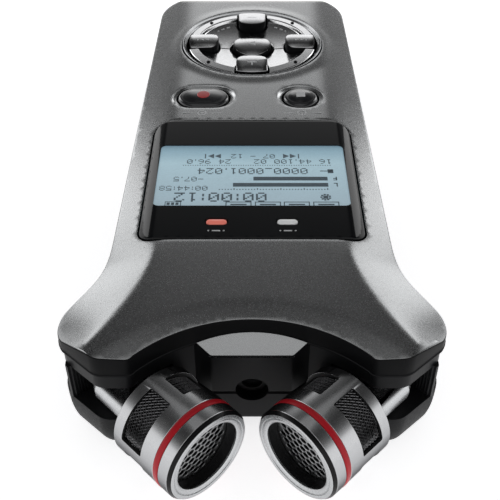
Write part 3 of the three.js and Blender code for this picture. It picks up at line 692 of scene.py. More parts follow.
RUBBER = surface(
    "keypad_rubber", (0.05, 0.05, 0.054), 0.62,
    layers=[("noise", 0.3, 0.15, 0.06, 0.006), ("noise", 6, 0.1, 0.05, 0)])
SLEEVE = surface(
    "cell_sleeve", (0.02, 0.075, 0.16), 0.3, coat=0.5, coat_rough=0.1,
    layers=[("streaks_y", 1.2, 0.12, 0.04, 0.002), ("noise", 7, 0.1, 0.05, 0)])
SLEEVE_BAND = surface(
    "cell_band", (0.55, 0.42, 0.12), 0.3, metallic=0.6, coat=0.5, coat_rough=0.1,
    layers=[("streaks_y", 1.0, 0.1, 0.04, 0.002), ("noise", 5, 0.08, 0.05, 0)])
GOLD = surface(
    "gold_contact", (0.75, 0.52, 0.2), 0.24, metallic=1.0,
    layers=[("streaks_x", 0.2, 0.05, 0.06, 0.001), ("noise", 1, 0.08, 0.05, 0)])
MARK_WHITE = surface(
    "print_white", (0.55, 0.56, 0.57), 0.45,
    layers=[("noise", 0.25, 0.08, 0.05, 0.001), ("noise", 2, 0.05, 0.03, 0)])
MARK_RED = surface(
    "print_red", (0.42, 0.01, 0.012), 0.3, coat=0.5,
    layers=[("noise", 0.3, 0.1, 0.05, 0.001), ("noise", 2, 0.08, 0.03, 0)])
LCD_INK = surface(
    "lcd_ink", (0.085, 0.125, 0.155), 0.4,
    layers=[("cells", 0.25, 0.12, 0.03, 0), ("noise", 4, 0.08, 0.03, 0)])
LAMP_RED = surface(
    "lamp_red", (0.80, 0.2, 0.15), 0.25, coat=0.5, glow=0.25,
    layers=[("noise", 0.5, 0.08, 0.04, 0.001), ("noise", 1.5, 0.06, 0.03, 0)])
LAMP_WHITE = surface(
    "lamp_white", (0.78, 0.79, 0.79), 0.25, coat=0.5, glow=0.12,
    layers=[("noise", 0.5, 0.05, 0.04, 0.001), ("noise", 1.5, 0.04, 0.03, 0)])
CONE = surface(
    "paper_cone", (0.02, 0.02, 0.021), 0.7,
    layers=[("noise", 0.2, 0.3, 0.1, 0.02), ("noise", 2, 0.15, 0.05, 0)])


LCD_TINTS = ((0.0, (0.38, 0.49, 0.56)), (0.72, (0.44, 0.61, 0.69)), (0.9, (0.3, 0.46, 0.55)),
             (1.0, (0.2, 0.32, 0.4)))


def lcd_glass():
    """Pale blue panel, deeper towards the tail, with a faint grid of dots."""
    mat = surface("lcd_glass", (1, 1, 1), 0.28, shine=0.2,
                  layers=[("noise", 9, 0.04, 0.03, 0), ("cells", 0.3, 0.025, 0, 0)])
    tree = mat.node_tree
    bsdf = tree.nodes["Principled BSDF"]
    lo, hi = low_high("lcd_module")
    along = tree.nodes.new("ShaderNodeMapRange")
    along.inputs["From Min"].default_value = (lo.y + 2.2) * MM
    along.inputs["From Max"].default_value = (hi.y - 2.2) * MM
    tree.links.new(axes(tree, "Object")[1], along.inputs["Value"])
    blend = tree.nodes.new("ShaderNodeMix")
    blend.data_type, blend.blend_type = "RGBA", "MULTIPLY"
    blend.inputs["Factor"].default_value = 1.0
    tree.links.new(gradient(tree, along.outputs[0], LCD_TINTS), blend.inputs["A"])
    tree.links.new(bsdf.inputs["Base Color"].links[0].from_socket, blend.inputs["B"])
    for name in ("Base Color", "Emission Color"):
        tree.links.new(blend.outputs["Result"], bsdf.inputs[name])
    bsdf.inputs["Emission Strength"].default_value = 0.35
    return mat


# ---- front panel -------------------------------------------------------------------------------

def window_plan(grow=0.0):
    """The display window, with larger corners at the tail end."""
    w, lo, hi = PANE_HIGH.x + grow, PANE_LOW.y - grow, PANE_HIGH.y + grow
    near, far = 3.0 + grow, 4.4 + grow
    corners = [(w - near, lo + near, near, -90), (w - far, hi - far, far, 0),
               (far - w, hi - far, far, 90), (near - w, lo + near, near, 180)]
    points = []
    for cx, cy, r, start in corners:
        points += arc(cx, cy, r, start, start + 90, 8)
    full = []
    for i, p in enumerate(points):
        nxt = points[(i + 1) % len(points)]
        parts = max(1, round((nxt - p).length / 2.5))
        full += [p.lerp(nxt, k / parts) for k in range(parts)]
    return clean(full)


def round_key_places():
    record, stop = middle("record_button"), middle("stop_button")
    lo, hi = low_high("record_button")
    return record, stop, hi.x - lo.x, hi.y - lo.y


def front_panel():
    record, stop, wide, tall = round_key_places()
    rim, hole_rim, lip = 0.35, 0.2, 0.14
    outline = case_outline()
    openings = [
        (window_plan(0.3), None, 23.2),
        (stadium(wide + 2.9, tall + 2.1, record.x, record.y),
         stadium(wide + 0.8, tall + 0.8, record.x, record.y), 22.6),
        (stadium(tall + 2.7, tall + 2.1, stop.x, stop.y), circle(tall / 2 + 0.4, stop.x, stop.y, 40), 22.6),
        (circle(DIAL_RING + 0.3, 0, DIAL_Y, 96), None, 22.3),
    ]
    holes = [inset(outer, -hole_rim) for outer, _, _ in openings]
    points, faces, rings = fill_around(inset(outline, rim), holes, 0.95)
    shape = Shape()
    shape.ring([(p.x, p.y, face_height(p.x, p.y)) for p in points])
    for f in faces:
        shape.face(f)
    last = round_over(shape, rings[0], lambda d: inset(outline, d + lip), rim - lip, face_height, 2)
    # The bead along the panel's lower edge faces upwards and catches light. It also takes the paler textured
    # black, which is a painted highlight line along the seam.
    for d, z, look in ((lip, 0.5, 1), (0.02, 0.4, 2), (0, 0.34, 2), (0, 0.2, 1), (0.25, 0, 1)):
        level = shape.ring(inset(outline, d) if d else outline, PANEL_Z + z)
        shape.bridge(last, level, look)
        last = level
    floors = []
    for (outer, inner, depth), ring in zip(openings, rings[1:]):
        last = round_over(shape, ring, lambda d, o=outer: inset(o, -d), hole_rim, face_height)
        wall = outer
        if inner:
            wall = match(inner, outer)
            for t in (0.35, 0.7, 1.0):
                sunk = 0.2 + 0.55 * sin(t * pi / 2)
                nxt = shape.ring([a.lerp(b, t) for a, b in zip(outer, wall)], FACE_Z - sunk)
                shape.bridge(last, nxt)
                last = nxt
        floors.append((shape.ring(wall, depth), wall))
        shape.bridge(last, floors[-1][0], 1)
    low, low_faces, low_rings = fill_around(inset(outline, 0.25), [w for _, w in floors], 9.0)
    start = len(shape.points)
    shape.ring(low, PANEL_Z)
    for f in low_faces:
        shape.face([i + start for i in f], 1)
    for (ring, _), low_ring in zip(floors, low_rings[1:]):
        shape.bridge(ring, [i + start for i in low_ring], 1)
    piece("front_panel_shell", shape, [GREY_PAINT, WALL_BLACK, BLACK_TEXTURE], ["front_panel"])


def match(inner, outer):
    """Points of the inner outline, one for each point of the outer one, by direction."""
    centre = sum(inner, Vector((0, 0))) / len(inner)
    out = []
    for p in outer:
        way = (p - centre).normalized()
        best, spot = None, None
        for i, a in enumerate(inner):
            b = inner[(i + 1) % len(inner)]
            edge = b - a
            cross = way.x * edge.y - way.y * edge.x
            if abs(cross) < 1e-12:
                continue
            rel = a - centre
            t = (rel.x * edge.y - rel.y * edge.x) / cross
            s = (rel.x * way.y - rel.y * way.x) / cross
            if t > 0 and -1e-6 <= s <= 1 + 1e-6 and (best is None or t > best):
                best, spot = t, centre + way * t
        out.append(spot)
    return out


def pane_height(x, _):
    """The display window: flat over the display, curving down at its two sides."""
    over = clamp((abs(x) - 19.4) / 3.1)
    return FACE_Z - 0.05 - 1.1 * over**1.7


def display_window():
    plan, rim, bottom = window_plan(), 0.3, 23.55
    size, centre = LCD_HIGH - LCD_LOW, (LCD_HIGH + LCD_LOW) / 2
    holes = [round_rect(size.x, size.y, 1.2, 0, centre.y)]
    holes += [stadium(4.7, 2.2, middle(n).x, middle(n).y) for n in ("rec_led", "peak_led")]
    shape, upper, lower = sheet(fill_around(inset(plan, rim), holes, 0.6), pane_height, bottom)
    last = round_over(shape, upper[0], lambda d: inset(plan, d), rim, pane_height)
    foot = shape.ring(plan, bottom)
    shape.bridge(last, foot)
    shape.bridge(foot, lower[0])
    for a, b in zip(upper[1:], lower[1:]):
        shape.bridge(a, b)
    piece("display_window_pane", shape, WINDOW_GLOSS, ["display_window"])


# ---- display -----------------------------------------------------------------------------------

DIGITS = {
    "0": (14, 17, 19, 21, 25, 17, 14), "1": (4, 12, 4, 4, 4, 4, 14), "2": (14, 17, 1, 2, 4, 8, 31),
    "3": (31, 2, 4, 2, 1, 17, 14), "4": (2, 6, 10, 18, 31, 2, 2), "5": (31, 16, 30, 1, 1, 17, 14),
    "6": (6, 8, 16, 30, 17, 17, 14), "7": (31, 1, 2, 4, 8, 8, 8), "8": (14, 17, 17, 14, 17, 17, 14),
    "9": (14, 17, 17, 15, 1, 2, 12), ":": (0, 4, 4, 0, 4, 4, 0), "-": (0, 0, 0, 31, 0, 0, 0),
    ".": (0, 0, 0, 0, 0, 4, 4), "_": (0, 0, 0, 0, 0, 0, 31), " ": (0, 0, 0, 0, 0, 0, 0),
}
LCD_TOP = 24.72


def display():
    """The panel and its dark marks. Rows read with their tops towards the microphones."""
    size, centre = LCD_HIGH - LCD_LOW, (LCD_HIGH + LCD_LOW) / 2
    glass = plate(round_rect(size.x - 0.06, size.y - 0.06, 1.17, 0, centre.y), 21.6, LCD_TOP,
                  top=0.04, bottom=0.1)
    piece("lcd_panel", glass, lcd_glass(), ["lcd_module"])
    marks = Shape()

    def bar(u0, u1, y0, y1):
        """A dark mark from u0 to u1, counted in reading direction from the middle."""
        marks.add(slab(-u1, -u0, LCD_LOW.y + y0, LCD_LOW.y + y1, LCD_TOP - 0.05, LCD_TOP + 0.02))

    def digits(text, u, y_top, dot):
        for char in text:
            rows = DIGITS[char]
            used = 3 if char in ":." else 5
            shift = (5 - used) // 2
            for r, bits in enumerate(rows):
                run = None
                for c in range(6):
                    on = c < 5 and bits >> (4 - c) & 1
                    if on and run is None:
                        run = c
                    if not on and run is not None:
                        bar(u + (run - shift) * dot, u + (c - shift) * dot - 0.05,
                            y_top + r * dot, y_top + (r + 1) * dot - 0.04)
                        run = None
            u += (used + 1) * dot

    edge = 0.15
    for tab in (-17.8, -11.8, -5.9, 0.1):
        bar(tab, tab + 5.3, edge + 1.2, edge + 1.42)
        bar(tab, tab + 0.2, edge, edge + 1.2)
        bar(tab + 5.1, tab + 5.3, edge, edge + 1.2)
        bar(tab + 1.0, tab + 4.3, edge + 0.3, edge + 0.7)
    bar(14.5, 17.8, edge + 1.35, edge + 1.5)
    bar(14.5, 17.8, edge, edge + 0.14)
    bar(14.5, 14.65, edge, edge + 1.5)
    bar(17.65, 17.8, edge, edge + 1.5)
    for cell in (15.0, 15.9, 16.8):
        bar(cell, cell + 0.6, edge + 0.35, edge + 1.15)
    digits("00:00:12", -3.0, 1.6, 0.445)
    for k in range(9):
        a = 2 * pi * k / 9
        u, y = -15.2 + 0.9 * cos(a), 3.1 + 0.9 * sin(a)
        bar(u - 0.22, u + 0.22, y - 0.22, y + 0.22)
    bar(-15.7, -14.7, 2.6, 3.6)
    for k in range(38):
        u = -15.9 + 0.61 * k
        tall = 0.5 if k % 8 == 0 else 0.26
        bar(u, u + 0.24, 5.65, 5.65 + tall)
    bar(-16.0, 4.0, 6.75, 8.05)
    bar(-16.0, -0.3, 8.95, 10.25)
    bar(-18.0, -17.75, 6.8, 8.05)
    bar(-18.0, -17.2, 7.8, 8.05)
    bar(-18.0, -17.75, 9, 10.25)
    bar(-18.0, -17.2, 9, 9.25)
    bar(-18.0, -17.2, 9.55, 9.8)
    digits("00:44:58", 9.3, 5.4, 0.235)
    digits("-07.5", 10.3, 8.65, 0.235)
    digits("0000_0001.024", -11.9, 11.25, 0.315)
    bar(-17.4, -14.6, 12.25, 12.5)
    bar(-17.4, -16.2, 11.6, 13)
    for k in range(62):
        bar(-17.0 + 0.52 * k, -16.78 + 0.52 * k, 14.4, 14.6)
    digits("16 44.100 02", -17.3, 15.05, 0.245)
    digits("24 96.0", 4.6, 15.05, 0.245)
    for side in (-1, 1):
        for k in range(2):
            tip = side * (9.6 - 1.5 * k)
            for step in range(5):
                u = tip - side * 0.26 * step
                bar(min(u, u - side * 0.24), max(u, u - side * 0.24), 17.9 - 0.17 * step, 18.1 + 0.17 * step)
        bar(side * 10.2 - 0.12, side * 10.2 + 0.12, 17.15, 18.8)
    digits("07 - 12", -5.0, 17.15, 0.235)
    piece("lcd_marks", marks, LCD_INK, like="lcd_module", sharp=20)


def lamps():
    for node, look in (("rec_led", LAMP_RED), ("peak_led", LAMP_WHITE)):
        at = middle(node)
        lens = plate(stadium(4.1, 1.6, at.x, at.y, 12), 20.5, FACE_Z - 0.05, top=0.25, bottom=0.2, crown=0.06)
        piece(node + "_lens", lens, look, [node])


def flat_marks(name, shapes, look, like):
    piece(name, joined(shapes), look, like=like, sharp=25)


def band(points, width, z0, z1):
    """A thin printed line along a path."""
    left, right = [], []
    for i, p in enumerate(points):
        a = points[max(0, i - 1)]
        b = points[min(len(points) - 1, i + 1)]
        way = (b - a).normalized()
        side = Vector((-way.y, way.x)) * (width / 2)
        left.append(p + side)
        right.append(p - side)
    return prism(right + left[::-1], z0, z1)


def face_print():
    """Plain signs beside the lamps and the two round keys, instead of words."""
    z = FACE_Z - 0.07
    lamp_signs = []
    for node in ("rec_led", "peak_led"):
        at = middle(node)
        lamp_signs += [plate(stadium(w, 0.34, at.x + dx, at.y - 2.9, 5), z, z + 0.045, 0.01, 0)
                       for w, dx in ((0.34, -1.5), (1.7, 0.0), (0.34, 1.5))]
    flat_marks("lamp_signs", lamp_signs, MARK_WHITE, "display_window")
    record, stop, _, tall = round_key_places()
    y = record.y - tall / 2 - 3.4
    z = FACE_Z - 0.02
    signs = [band(arc(record.x, y, 0.95, 0, 360, 28), 0.3, z, z + 0.05),
             plate(circle(0.4, record.x, y, 14), z, z + 0.05, 0.01, 0),
             band(arc(stop.x, y, 0.95, -55, 235, 24), 0.3, z, z + 0.05),
             prism([(stop.x - 0.15, y - 1.2), (stop.x + 0.15, y - 1.2), (stop.x + 0.15, y - 0.1),
                    (stop.x - 0.15, y - 0.1)], z, z + 0.05)]
    for sx in (-1, 1):
        for at in (record, stop):
            signs.append(plate(stadium(2.4, 0.24, at.x + sx * 3.4, y, 4), z, z + 0.045, 0.01, 0))
    flat_marks("key_signs", signs, MARK_WHITE, "front_panel")


# ---- keys --------------------------------------------------------------------------------------

KEY_BASE = 20.95


def round_keys():
    record, stop, wide, tall = round_key_places()
    top = low_high("record_button")[1].z
    for name, plan in (("record_button", stadium(wide, tall, record.x, record.y, 16)),
                       ("stop_button", circle(tall / 2, stop.x, stop.y, 56))):
        cap = plate(plan, KEY_BASE, top - 0.62, top=1.0, bottom=0.2, crown=0.55, steps=8)
        piece(name + "_cap", cap, SMOKED, [name])
    dot = plate(circle(1.55, record.x, record.y, 32), top - 0.4, top - 0.03, 0.12, 0.02, crown=0.03)
    piece("record_sign", dot, MARK_RED, like="record_button")
    square = plate(round_rect(2.1, 2.1, 0.2, stop.x, stop.y, 3), top - 0.3, top - 0.03, top=0.04, bottom=0)
    piece("stop_sign", square, MARK_WHITE, like="stop_button")


def pillow(plan, top, rise, power, lean=0.0, ends=(0.2, 4)):
    """A key with black sides; its painted top falls away in front and behind, and a little at its
    ends. The lean tips it towards the microphones."""
    lo = Vector((min(p.x for p in plan), min(p.y for p in plan)))
    hi = Vector((max(p.x for p in plan), max(p.y for p in plan)))
    centre, half = (lo + hi) / 2, (hi - lo) / 2
    spare = (lean * half.y) ** 2 / (4 * rise)

    def level(points, down):
        made = []
        for p in points:
            u, v = abs(p.x - centre.x) / half.x, (p.y - centre.y) / half.y
            z = top - spare - rise * abs(v) ** power - ends[0] * u ** ends[1] + lean * (p.y - centre.y)
            made.append(Vector((p.x, p.y, z - down)))
        return made

    rings = [lifted(inset(plan, 0.15), KEY_BASE), lifted(plan, KEY_BASE + 0.15), level(plan, 0.3),
             level(inset(plan, 0.04), 0.14), level(inset(plan, 0.14), 0.015)]
    inner = inset(plan, 0.3)
    steps = 14
    rings += [level([centre + (p - centre) * (1 - k / steps) for p in inner], 0) for k in range(steps)]
    shape = Shape()
    shape.skin(rings, looks=[1] * 4 + [0] * (len(rings) - 4))
    return shape


def play_key():
    y = DIAL_Y
    cap = pillow(circle(5.05, 0, y, 64), 24.7, 0.85, 2.0, 0.05, (0.4, 2))
    piece("play_cap", cap, [KEY_PAINT, WALL_BLACK], ["play_button"])
    sign = [(-1.1, 0.0), (0.9, -1.15), (0.9, 1.15)]
    sign = rounded([Vector(p) + Vector((0, y)) for p in sign], 0.15, steps=2)
    piece("play_sign", plate(sign, 24.4, 24.72, 0.02, 0), MARK_WHITE, like="play_button")


def arrow_plan(half, inner, outer):
    """An arrow key's plan, pointing along +X from the middle of the dial."""
    lean = degrees(asin(half / outer))
    points = arc(0, 0, outer, -lean, lean, 10)
    shoulder = inner + half * 0.7
    points += bezier(Vector((shoulder, half)), (inner + half * 0.2, half),
                     (inner, half * 0.55), (inner, 0), 7)
    points += bezier(Vector((inner, 0)), (inner, -half * 0.55),
                     (inner + half * 0.2, -half), (shoulder, -half), 7)
    return clean(rounded(points, 0.5, steps=2), 0.03)


def arrow_keys():
    top = low_high("plus_button")[1].z
    keys = (("plus_button", -90, 0.55, 0.09), ("minus_button", 90, 0.3, -0.05),
            ("rewind_button", 0, 0.7, 0.06), ("forward_button", 180, 0.7, 0.06))
    for name, angle, rise, lean in keys:
        turn = shift(0, DIAL_Y) @ spin(angle)
        plan = [(turn @ p.to_3d()).to_2d() for p in arrow_plan(ARROW_HALF[name], 8.9, 16.7)]
        piece(name + "_cap", pillow(plan, top, rise, 2.2, lean), [KEY_PAINT, WALL_BLACK], [name])
        z0, z1 = top - 0.6, top - 0.03
        at, wide, thin = 12.8, 1.15, 0.16
        if "plus" in name:
            signs = [slab(at - thin, at + thin, -wide, wide, z0, z1),
                     slab(at - wide, at - thin, -thin, thin, z0, z1),
                     slab(at + thin, at + wide, -thin, thin, z0, z1)]
        elif "minus" in name:
            signs = [slab(at - thin, at + thin, -wide, wide, z0, z1)]
        else:
            signs = [prism([(at + 1.5, 0), (at + 0.1, 0.75), (at + 0.1, -0.75)], z0, z1),
                     prism([(at + 0.1, 0), (at - 1.3, 0.75), (at - 1.3, -0.75)], z0, z1),
                     slab(at + 1.5, at + 1.75, -0.75, 0.75, z0, z1)]
        flat_marks(name + "_sign", [s.moved(turn) for s in signs], MARK_WHITE, name)


def quarter_keys():
    """Four keys between the arrows: a shallow dish with a raised bright rim."""
    top = FACE_Z + 0.1
    start, end = DIAL_HUB + 0.6, DIAL_RIM - 0.45
    profile = [(DIAL_HUB + 0.5, KEY_BASE), (DIAL_PAD - 0.1, KEY_BASE), (DIAL_PAD - 0.1, top - 0.35),
               (DIAL_PAD - 0.3, top - 0.16), (DIAL_RIM + 0.15, top), (DIAL_RIM - 0.1, top - 0.15),
               (end + 0.1, 24.3)]
    for k in range(9):
        t = 1 - k / 8
        profile.append((start + (end - start) * t, 22.9 + 0.55 * t + 0.72 * t * t))
    profile.append((DIAL_HUB + 0.5, 22.7))
    ring = lathe(rounded(profile, 0.14, steps=3), 128)
    gap = 0.17
    for name, sx, sy in (("menu_key", 1, -1), ("quick_key", -1, -1), ("mark_key", 1, 1), ("loop_key", -1, 1)):
        far = 30
        cuts = [slab(*sorted((-sx * far, sx * gap)), -far, far, 0, 40),
                slab(-far, far, *sorted((-sy * far, sy * gap)), 0, 40)]
        for angle, beside in ((90 * sy, "plus_button" if sy < 0 else "minus_button"),
                              (90 - 90 * sx, "rewind_button")):
            cuts.append(prism(arrow_plan(ARROW_HALF[beside] + 0.45, 8.4, 19), 0, 40).moved(spin(angle)))
        place = shift(0, DIAL_Y)
        piece(name + "_dish", ring.moved(place), KEY_PAINT, [name], bevel=0.12,
              cuts=[c.moved(place) for c in cuts], sharp=30)
        at = Vector((sx * 11.2, sy * 11.2 + DIAL_Y))
        dot = lathe([(0, top - 0.2), (0.5, top - 0.2), (0.5, top), (0.4, top + 0.16), (0.2, top + 0.25),
                     (0, top + 0.27)], 20)
        piece(name + "_dot", dot.moved(shift(at.x, at.y, 0)), BLACK_SATIN, like=name)
        if sy > 0:
            path = arc(0, DIAL_Y, 12.7, 90 - sx * 48, 90 - sx * 27, 10)
            dashes = [band(path[i:i + 2], 0.28, 23.4, 23.95) for i in (0, 3, 4, 7, 8)]
            flat_marks(name + "_print", dashes, MARK_WHITE, name)


def dial_ring():
    profile = rounded([(DIAL_PAD + 0.35, 22.85), (DIAL_RING, 22.85), (DIAL_RING, FACE_Z + 0.2),
                       (DIAL_RING - 0.3, FACE_Z + 0.3), (DIAL_PAD + 0.9, FACE_Z - 0.15),
                       (DIAL_PAD + 0.35, FACE_Z - 0.5)], 0.12, steps=4)
    ring = lathe(profile, 144)
    piece("dial_ring", ring.moved(shift(0, DIAL_Y)), TRIM_METAL, ["dial_trim_ring"])


# ---- case shells -------------------------------------------------------------------------------


def arm_room():
    """What the two arms need inside the ears."""
    lo, hi = EAR_GAP
    wall_x = EAR_HALF - CASE_INSET - WALL
    one = [rod("z", 7.4, lo, hi, PIVOT_X, PIVOT_Y, 64),
           slab(14, wall_x, -70, PIVOT_Y + 4.5, lo, hi),
           slab(PIVOT_X + 3, wall_x, -70, PIVOT_Y + 6.5, lo, hi),
           slab(14, 40, -70, PIVOT_Y, lo, hi)]
    return one + [mirrored(s) for s in one]


def ear_ribs(side):
    """The ribbed wall that closes the ear's outer side, just clear of the spread arm."""
    lo, hi = EAR_GAP
    plan = [Vector((1.0, 7.6)), Vector((1.0, 6.2))]
    for k in range(9):
        at = 1.3 + 0.62 * k
        plan += [Vector(p) for p in ((at, 6.2), (at + 0.12, 5.9), (at + 0.34, 5.9), (at + 0.46, 6.2))]
    plan += [Vector((7.2, 6.2)), Vector((7.2, 6.9)), Vector((6.6, 7.6))]
    away = Vector((side, -1)).normalized()
    out = Vector((side, 1)).normalized()
    pivot = Vector((side * PIVOT_X, PIVOT_Y))
    plan = [pivot + away * p.x + out * p.y for p in plan]
    return prism(plan if side > 0 else plan[::-1], lo - 0.2, hi + 0.2)


def nose_plan(back, grow=0.0):
    depth = back - NOSE_Y
    half = NOSE_HALF + grow
    wide = half + 1.2 * depth
    points = [Vector((-half, NOSE_Y)), Vector((half, NOSE_Y)), Vector((wide, back)), Vector((-wide, back))]
    return clean(rounded(points, 0.9, steps=5), 0.03)


def side_key_plan(name, grow):
    at = middle(name)
    return stadium(SIDE_SLOT[0] + grow, SIDE_SLOT[1] + grow, at.y, at.z, 8)


def middle_frame():
    """The black middle of the case, with the ears' upper plates and the block between them."""
    lo, hi = SEAM_Z, 20.0
    shell = plate(case_outline(CASE_INSET), lo, hi, top=0.3, bottom=0.3)
    lo_card, hi_card = low_high("card_door")
    usb, jack = middle("usb_port"), middle("headphone_jack")
    room = inset(case_outline(CASE_INSET), WALL)
    room = [Vector((p.x, max(p.y, ROOM_FRONT_Y))) for p in room]
    cuts = [prism(clean(room, 0.02), lo - 2, hi + 2)] + arm_room()
    cuts += [rod("y", 3.3, NOSE_Y - 5, NOSE_Y + 4, 0, JACK_Z, 48),
             slab(-40, -20, lo_card.y - 0.3, hi_card.y + 0.3, 11.4, hi_card.z + 0.3),
             prism(stadium(*SIDE_SLOT, usb.y, usb.z, 8), -40, -20).moved(ON_SIDE),
             prism(circle(3.3, jack.y, jack.z, 48), 20, 40).moved(ON_SIDE)]
    cuts += [prism(side_key_plan(n, 0.5), 20, 40).moved(ON_SIDE)
             for n in ("volume_up_key", "volume_down_key")]
    piece("middle_frame", shell, BLACK_SATIN, ["front_frame"], bevel=0.22, cuts=cuts)
    for side, name in ((-1, "left"), (1, "right")):
        piece(name + "_ear_ribs", ear_ribs(side), BLACK_SATIN, like="front_frame", bevel=0.05)
    nose = plate(nose_plan(NOSE_BACK_Y), lo, 24, top=0.3, bottom=0.3)
    slope = Shape()
    slope.skin([[Vector((x, -53.3, 21.75)), Vector((x, -53.3, 30)), Vector((x, -64, 30)),
                 Vector((x, -64, 16.9))] for x in (-40, 40)])
    ring = lathe([(BAY_RADIUS - 0.02, 20.05), (60, 20.05), (60, 30), (BAY_RADIUS - 0.02, 30)], 160)
    cuts = [ring.moved(shift(0, BAY_CENTRE_Y, 0)), slope,
            rod("y", 3.0, NOSE_Y - 5, NOSE_Y + 3, 0, JACK_Z, 64),
            slab(-20, 20, -60, NOSE_Y + 0.3, 19.3, 19.55)]

    def look(at, normal):
        return 1 if at.z > 18 and normal.z > 0.5 and at.y < -50 else 0

    piece("nose_block", nose, [BLACK_SATIN, GREY_PAINT], like="front_frame", bevel=0.12, cuts=cuts,
          repaint=look)


def rear_inset(z):
    """How far the rear case pulls in at a height above the table."""
    depth = clamp(1 - z / 7.5)
    return 2.9 * (1 - sqrt(1 - depth * depth))


def rear_shell():
    top = SEAM_Z - 0.25
    levels = [0, 0.12, 0.35, 0.7, 1.2, 1.9, 2.8, 4, 5.5, 7.5, top - 0.3]
    shell = Shape()
    shell.skin([lifted(case_outline(rear_inset(z)), z) for z in levels] + [lifted(case_outline(0.3), top)])
    cover_lo, cover_hi = low_high("battery_cover")
    half, lip = COVER_HALF, cover_hi.x
    cuts = [slab(-half - 0.35, half + 0.35, cover_lo.y - 0.35, 90, -1, cover_hi.z + 0.4),
            slab(-lip - 0.35, lip + 0.35, cover_lo.y - 0.35, 90, 1, cover_hi.z + 0.4),
            slab(-18.6, 18.6, 12.4, 75, 1, 20)]
    inner = inset(case_outline(CASE_INSET), WALL)
    inner = clean([Vector((p.x, min(max(p.y, ROOM_FRONT_Y), 10.8))) for p in inner], 0.02)
    cuts += [prism(inner, WALL, 20)] + arm_room()
    slots_y = middle("speaker").y
    cuts += [prism(stadium(1.5, 15 - abs(x), x, slots_y, 8), -1, WALL + 1) for x in (-6, -3, 0, 3, 6)]
    cuts.append(rod("z", 4.9, -1, WALL + 1, *middle("tripod_insert").xy, 64))
    for k in range(4):
        at = middle(f"rear_screw_{k + 1}").xy
        cuts += [rod("z", 2.4, -1, 1.5, *at, 40), rod("z", 1.3, 1, 12, *at, 24)]
    piece("rear_shell", shell, BLACK_TEXTURE, ["rear_case"], bevel=0.22, cuts=cuts)
    chin = Shape()
    z_steps = [(1.9, 1.3), (2.1, 0.65), (2.5, 0.25), (3.2, 0), (top - 0.3, 0), (top, 0.3)]
    chin.skin([lifted(inset(nose_plan(NOSE_BACK_Y), d), z) for z, d in z_steps])
    piece("nose_chin", chin, BLACK_SATIN, like="rear_case", bevel=0.15,
          cuts=[rod("y", 3.0, NOSE_Y - 5, NOSE_Y + 3, 0, JACK_Z, 64)])


def battery_cover():
    lo, hi = low_high("battery_cover")
    body = plate(round_rect(2 * COVER_HALF, hi.y - lo.y, 0.8, 0, (lo.y + hi.y) / 2, 4), lo.z, hi.z,
                 top=0.15, bottom=0.3)
    body.add(slab(-hi.x, hi.x, lo.y + 0.4, hi.y - 0.6, 1.35, hi.z - 0.1))
    grips = [prism(stadium(14, 0.9, 0, lo.y + 4 + 2 * k, 6), -1, lo.z + 0.35) for k in range(6)]
    arrow = [Vector((-3, lo.y + 17.5)), Vector((3, lo.y + 17.5)), Vector((0, lo.y + 21))]
    grips.append(prism(rounded(arrow, 0.4, steps=3), -1, lo.z + 0.3))
    grips.append(slab(-40, 40, hi.y - 1.1, hi.y + 2, -1, 0.95))
    piece("battery_cover_panel", body, BLACK_TEXTURE, ["battery_cover"], bevel=0.12, cuts=grips)


# ---- sides -------------------------------------------------------------------------------------


def side_pieces():
    for name, sign in (("volume_up_key", 1), ("volume_down_key", -1)):
        lo, hi = low_high(name)
        _, y, z = middle(name)
        cap = plate(side_key_plan(name, 0), lo.x, hi.x - 0.25, top=0.6, bottom=0.2, crown=0.22, steps=6)
        piece(name + "_cap", cap.moved(ON_SIDE), BLACK_SATIN, [name])
        bars = [slab(y - 1, y + 1, z - 0.15, z + 0.15, hi.x - 0.3, hi.x - 0.01)]
        if sign > 0:
            bars += [slab(y - 0.15, y + 0.15, z + 0.15, z + 1, hi.x - 0.3, hi.x - 0.01),
                     slab(y - 0.15, y + 0.15, z - 1, z - 0.15, hi.x - 0.3, hi.x - 0.01)]
        flat_marks(name + "_sign", [b.moved(ON_SIDE) for b in bars], MARK_WHITE, name)
    jack = middle("headphone_jack")
    face = low_high("headphone_jack")[1].x
    bush = jack_bush().moved(shift(face, jack.y, jack.z) @ spin(90, "Y"))
    piece("headphone_bush", bush, [LINER_BLACK, STEEL], ["headphone_jack"])
    front = low_high("input_jack")[0].y
    bush = jack_bush().moved(shift(0, front + 2.2, JACK_Z) @ spin(90, "X"))
    piece("input_bush", bush, [LINER_BLACK, STEEL], ["input_jack"])
    usb_port()
    card_parts()


def jack_bush():
    """A 3.5 mm socket whose mouth faces +Z: a stepped bush with a bright spring leaf deep inside."""
    profile = rounded([(1.95, 0), (2.85, 0), (2.95, -0.4), (2.95, -9), (1.95, -9)], 0.12, steps=3)
    shape = lathe(profile, 64)
    shape.add(lathe([(0, -9.2), (2.2, -9.2), (2.2, -8.6), (0, -8.6)], 32))
    shape.add(slab(1.3, 1.7, -0.5, 0.5, -8.0, -2.2), look=1)
    return shape


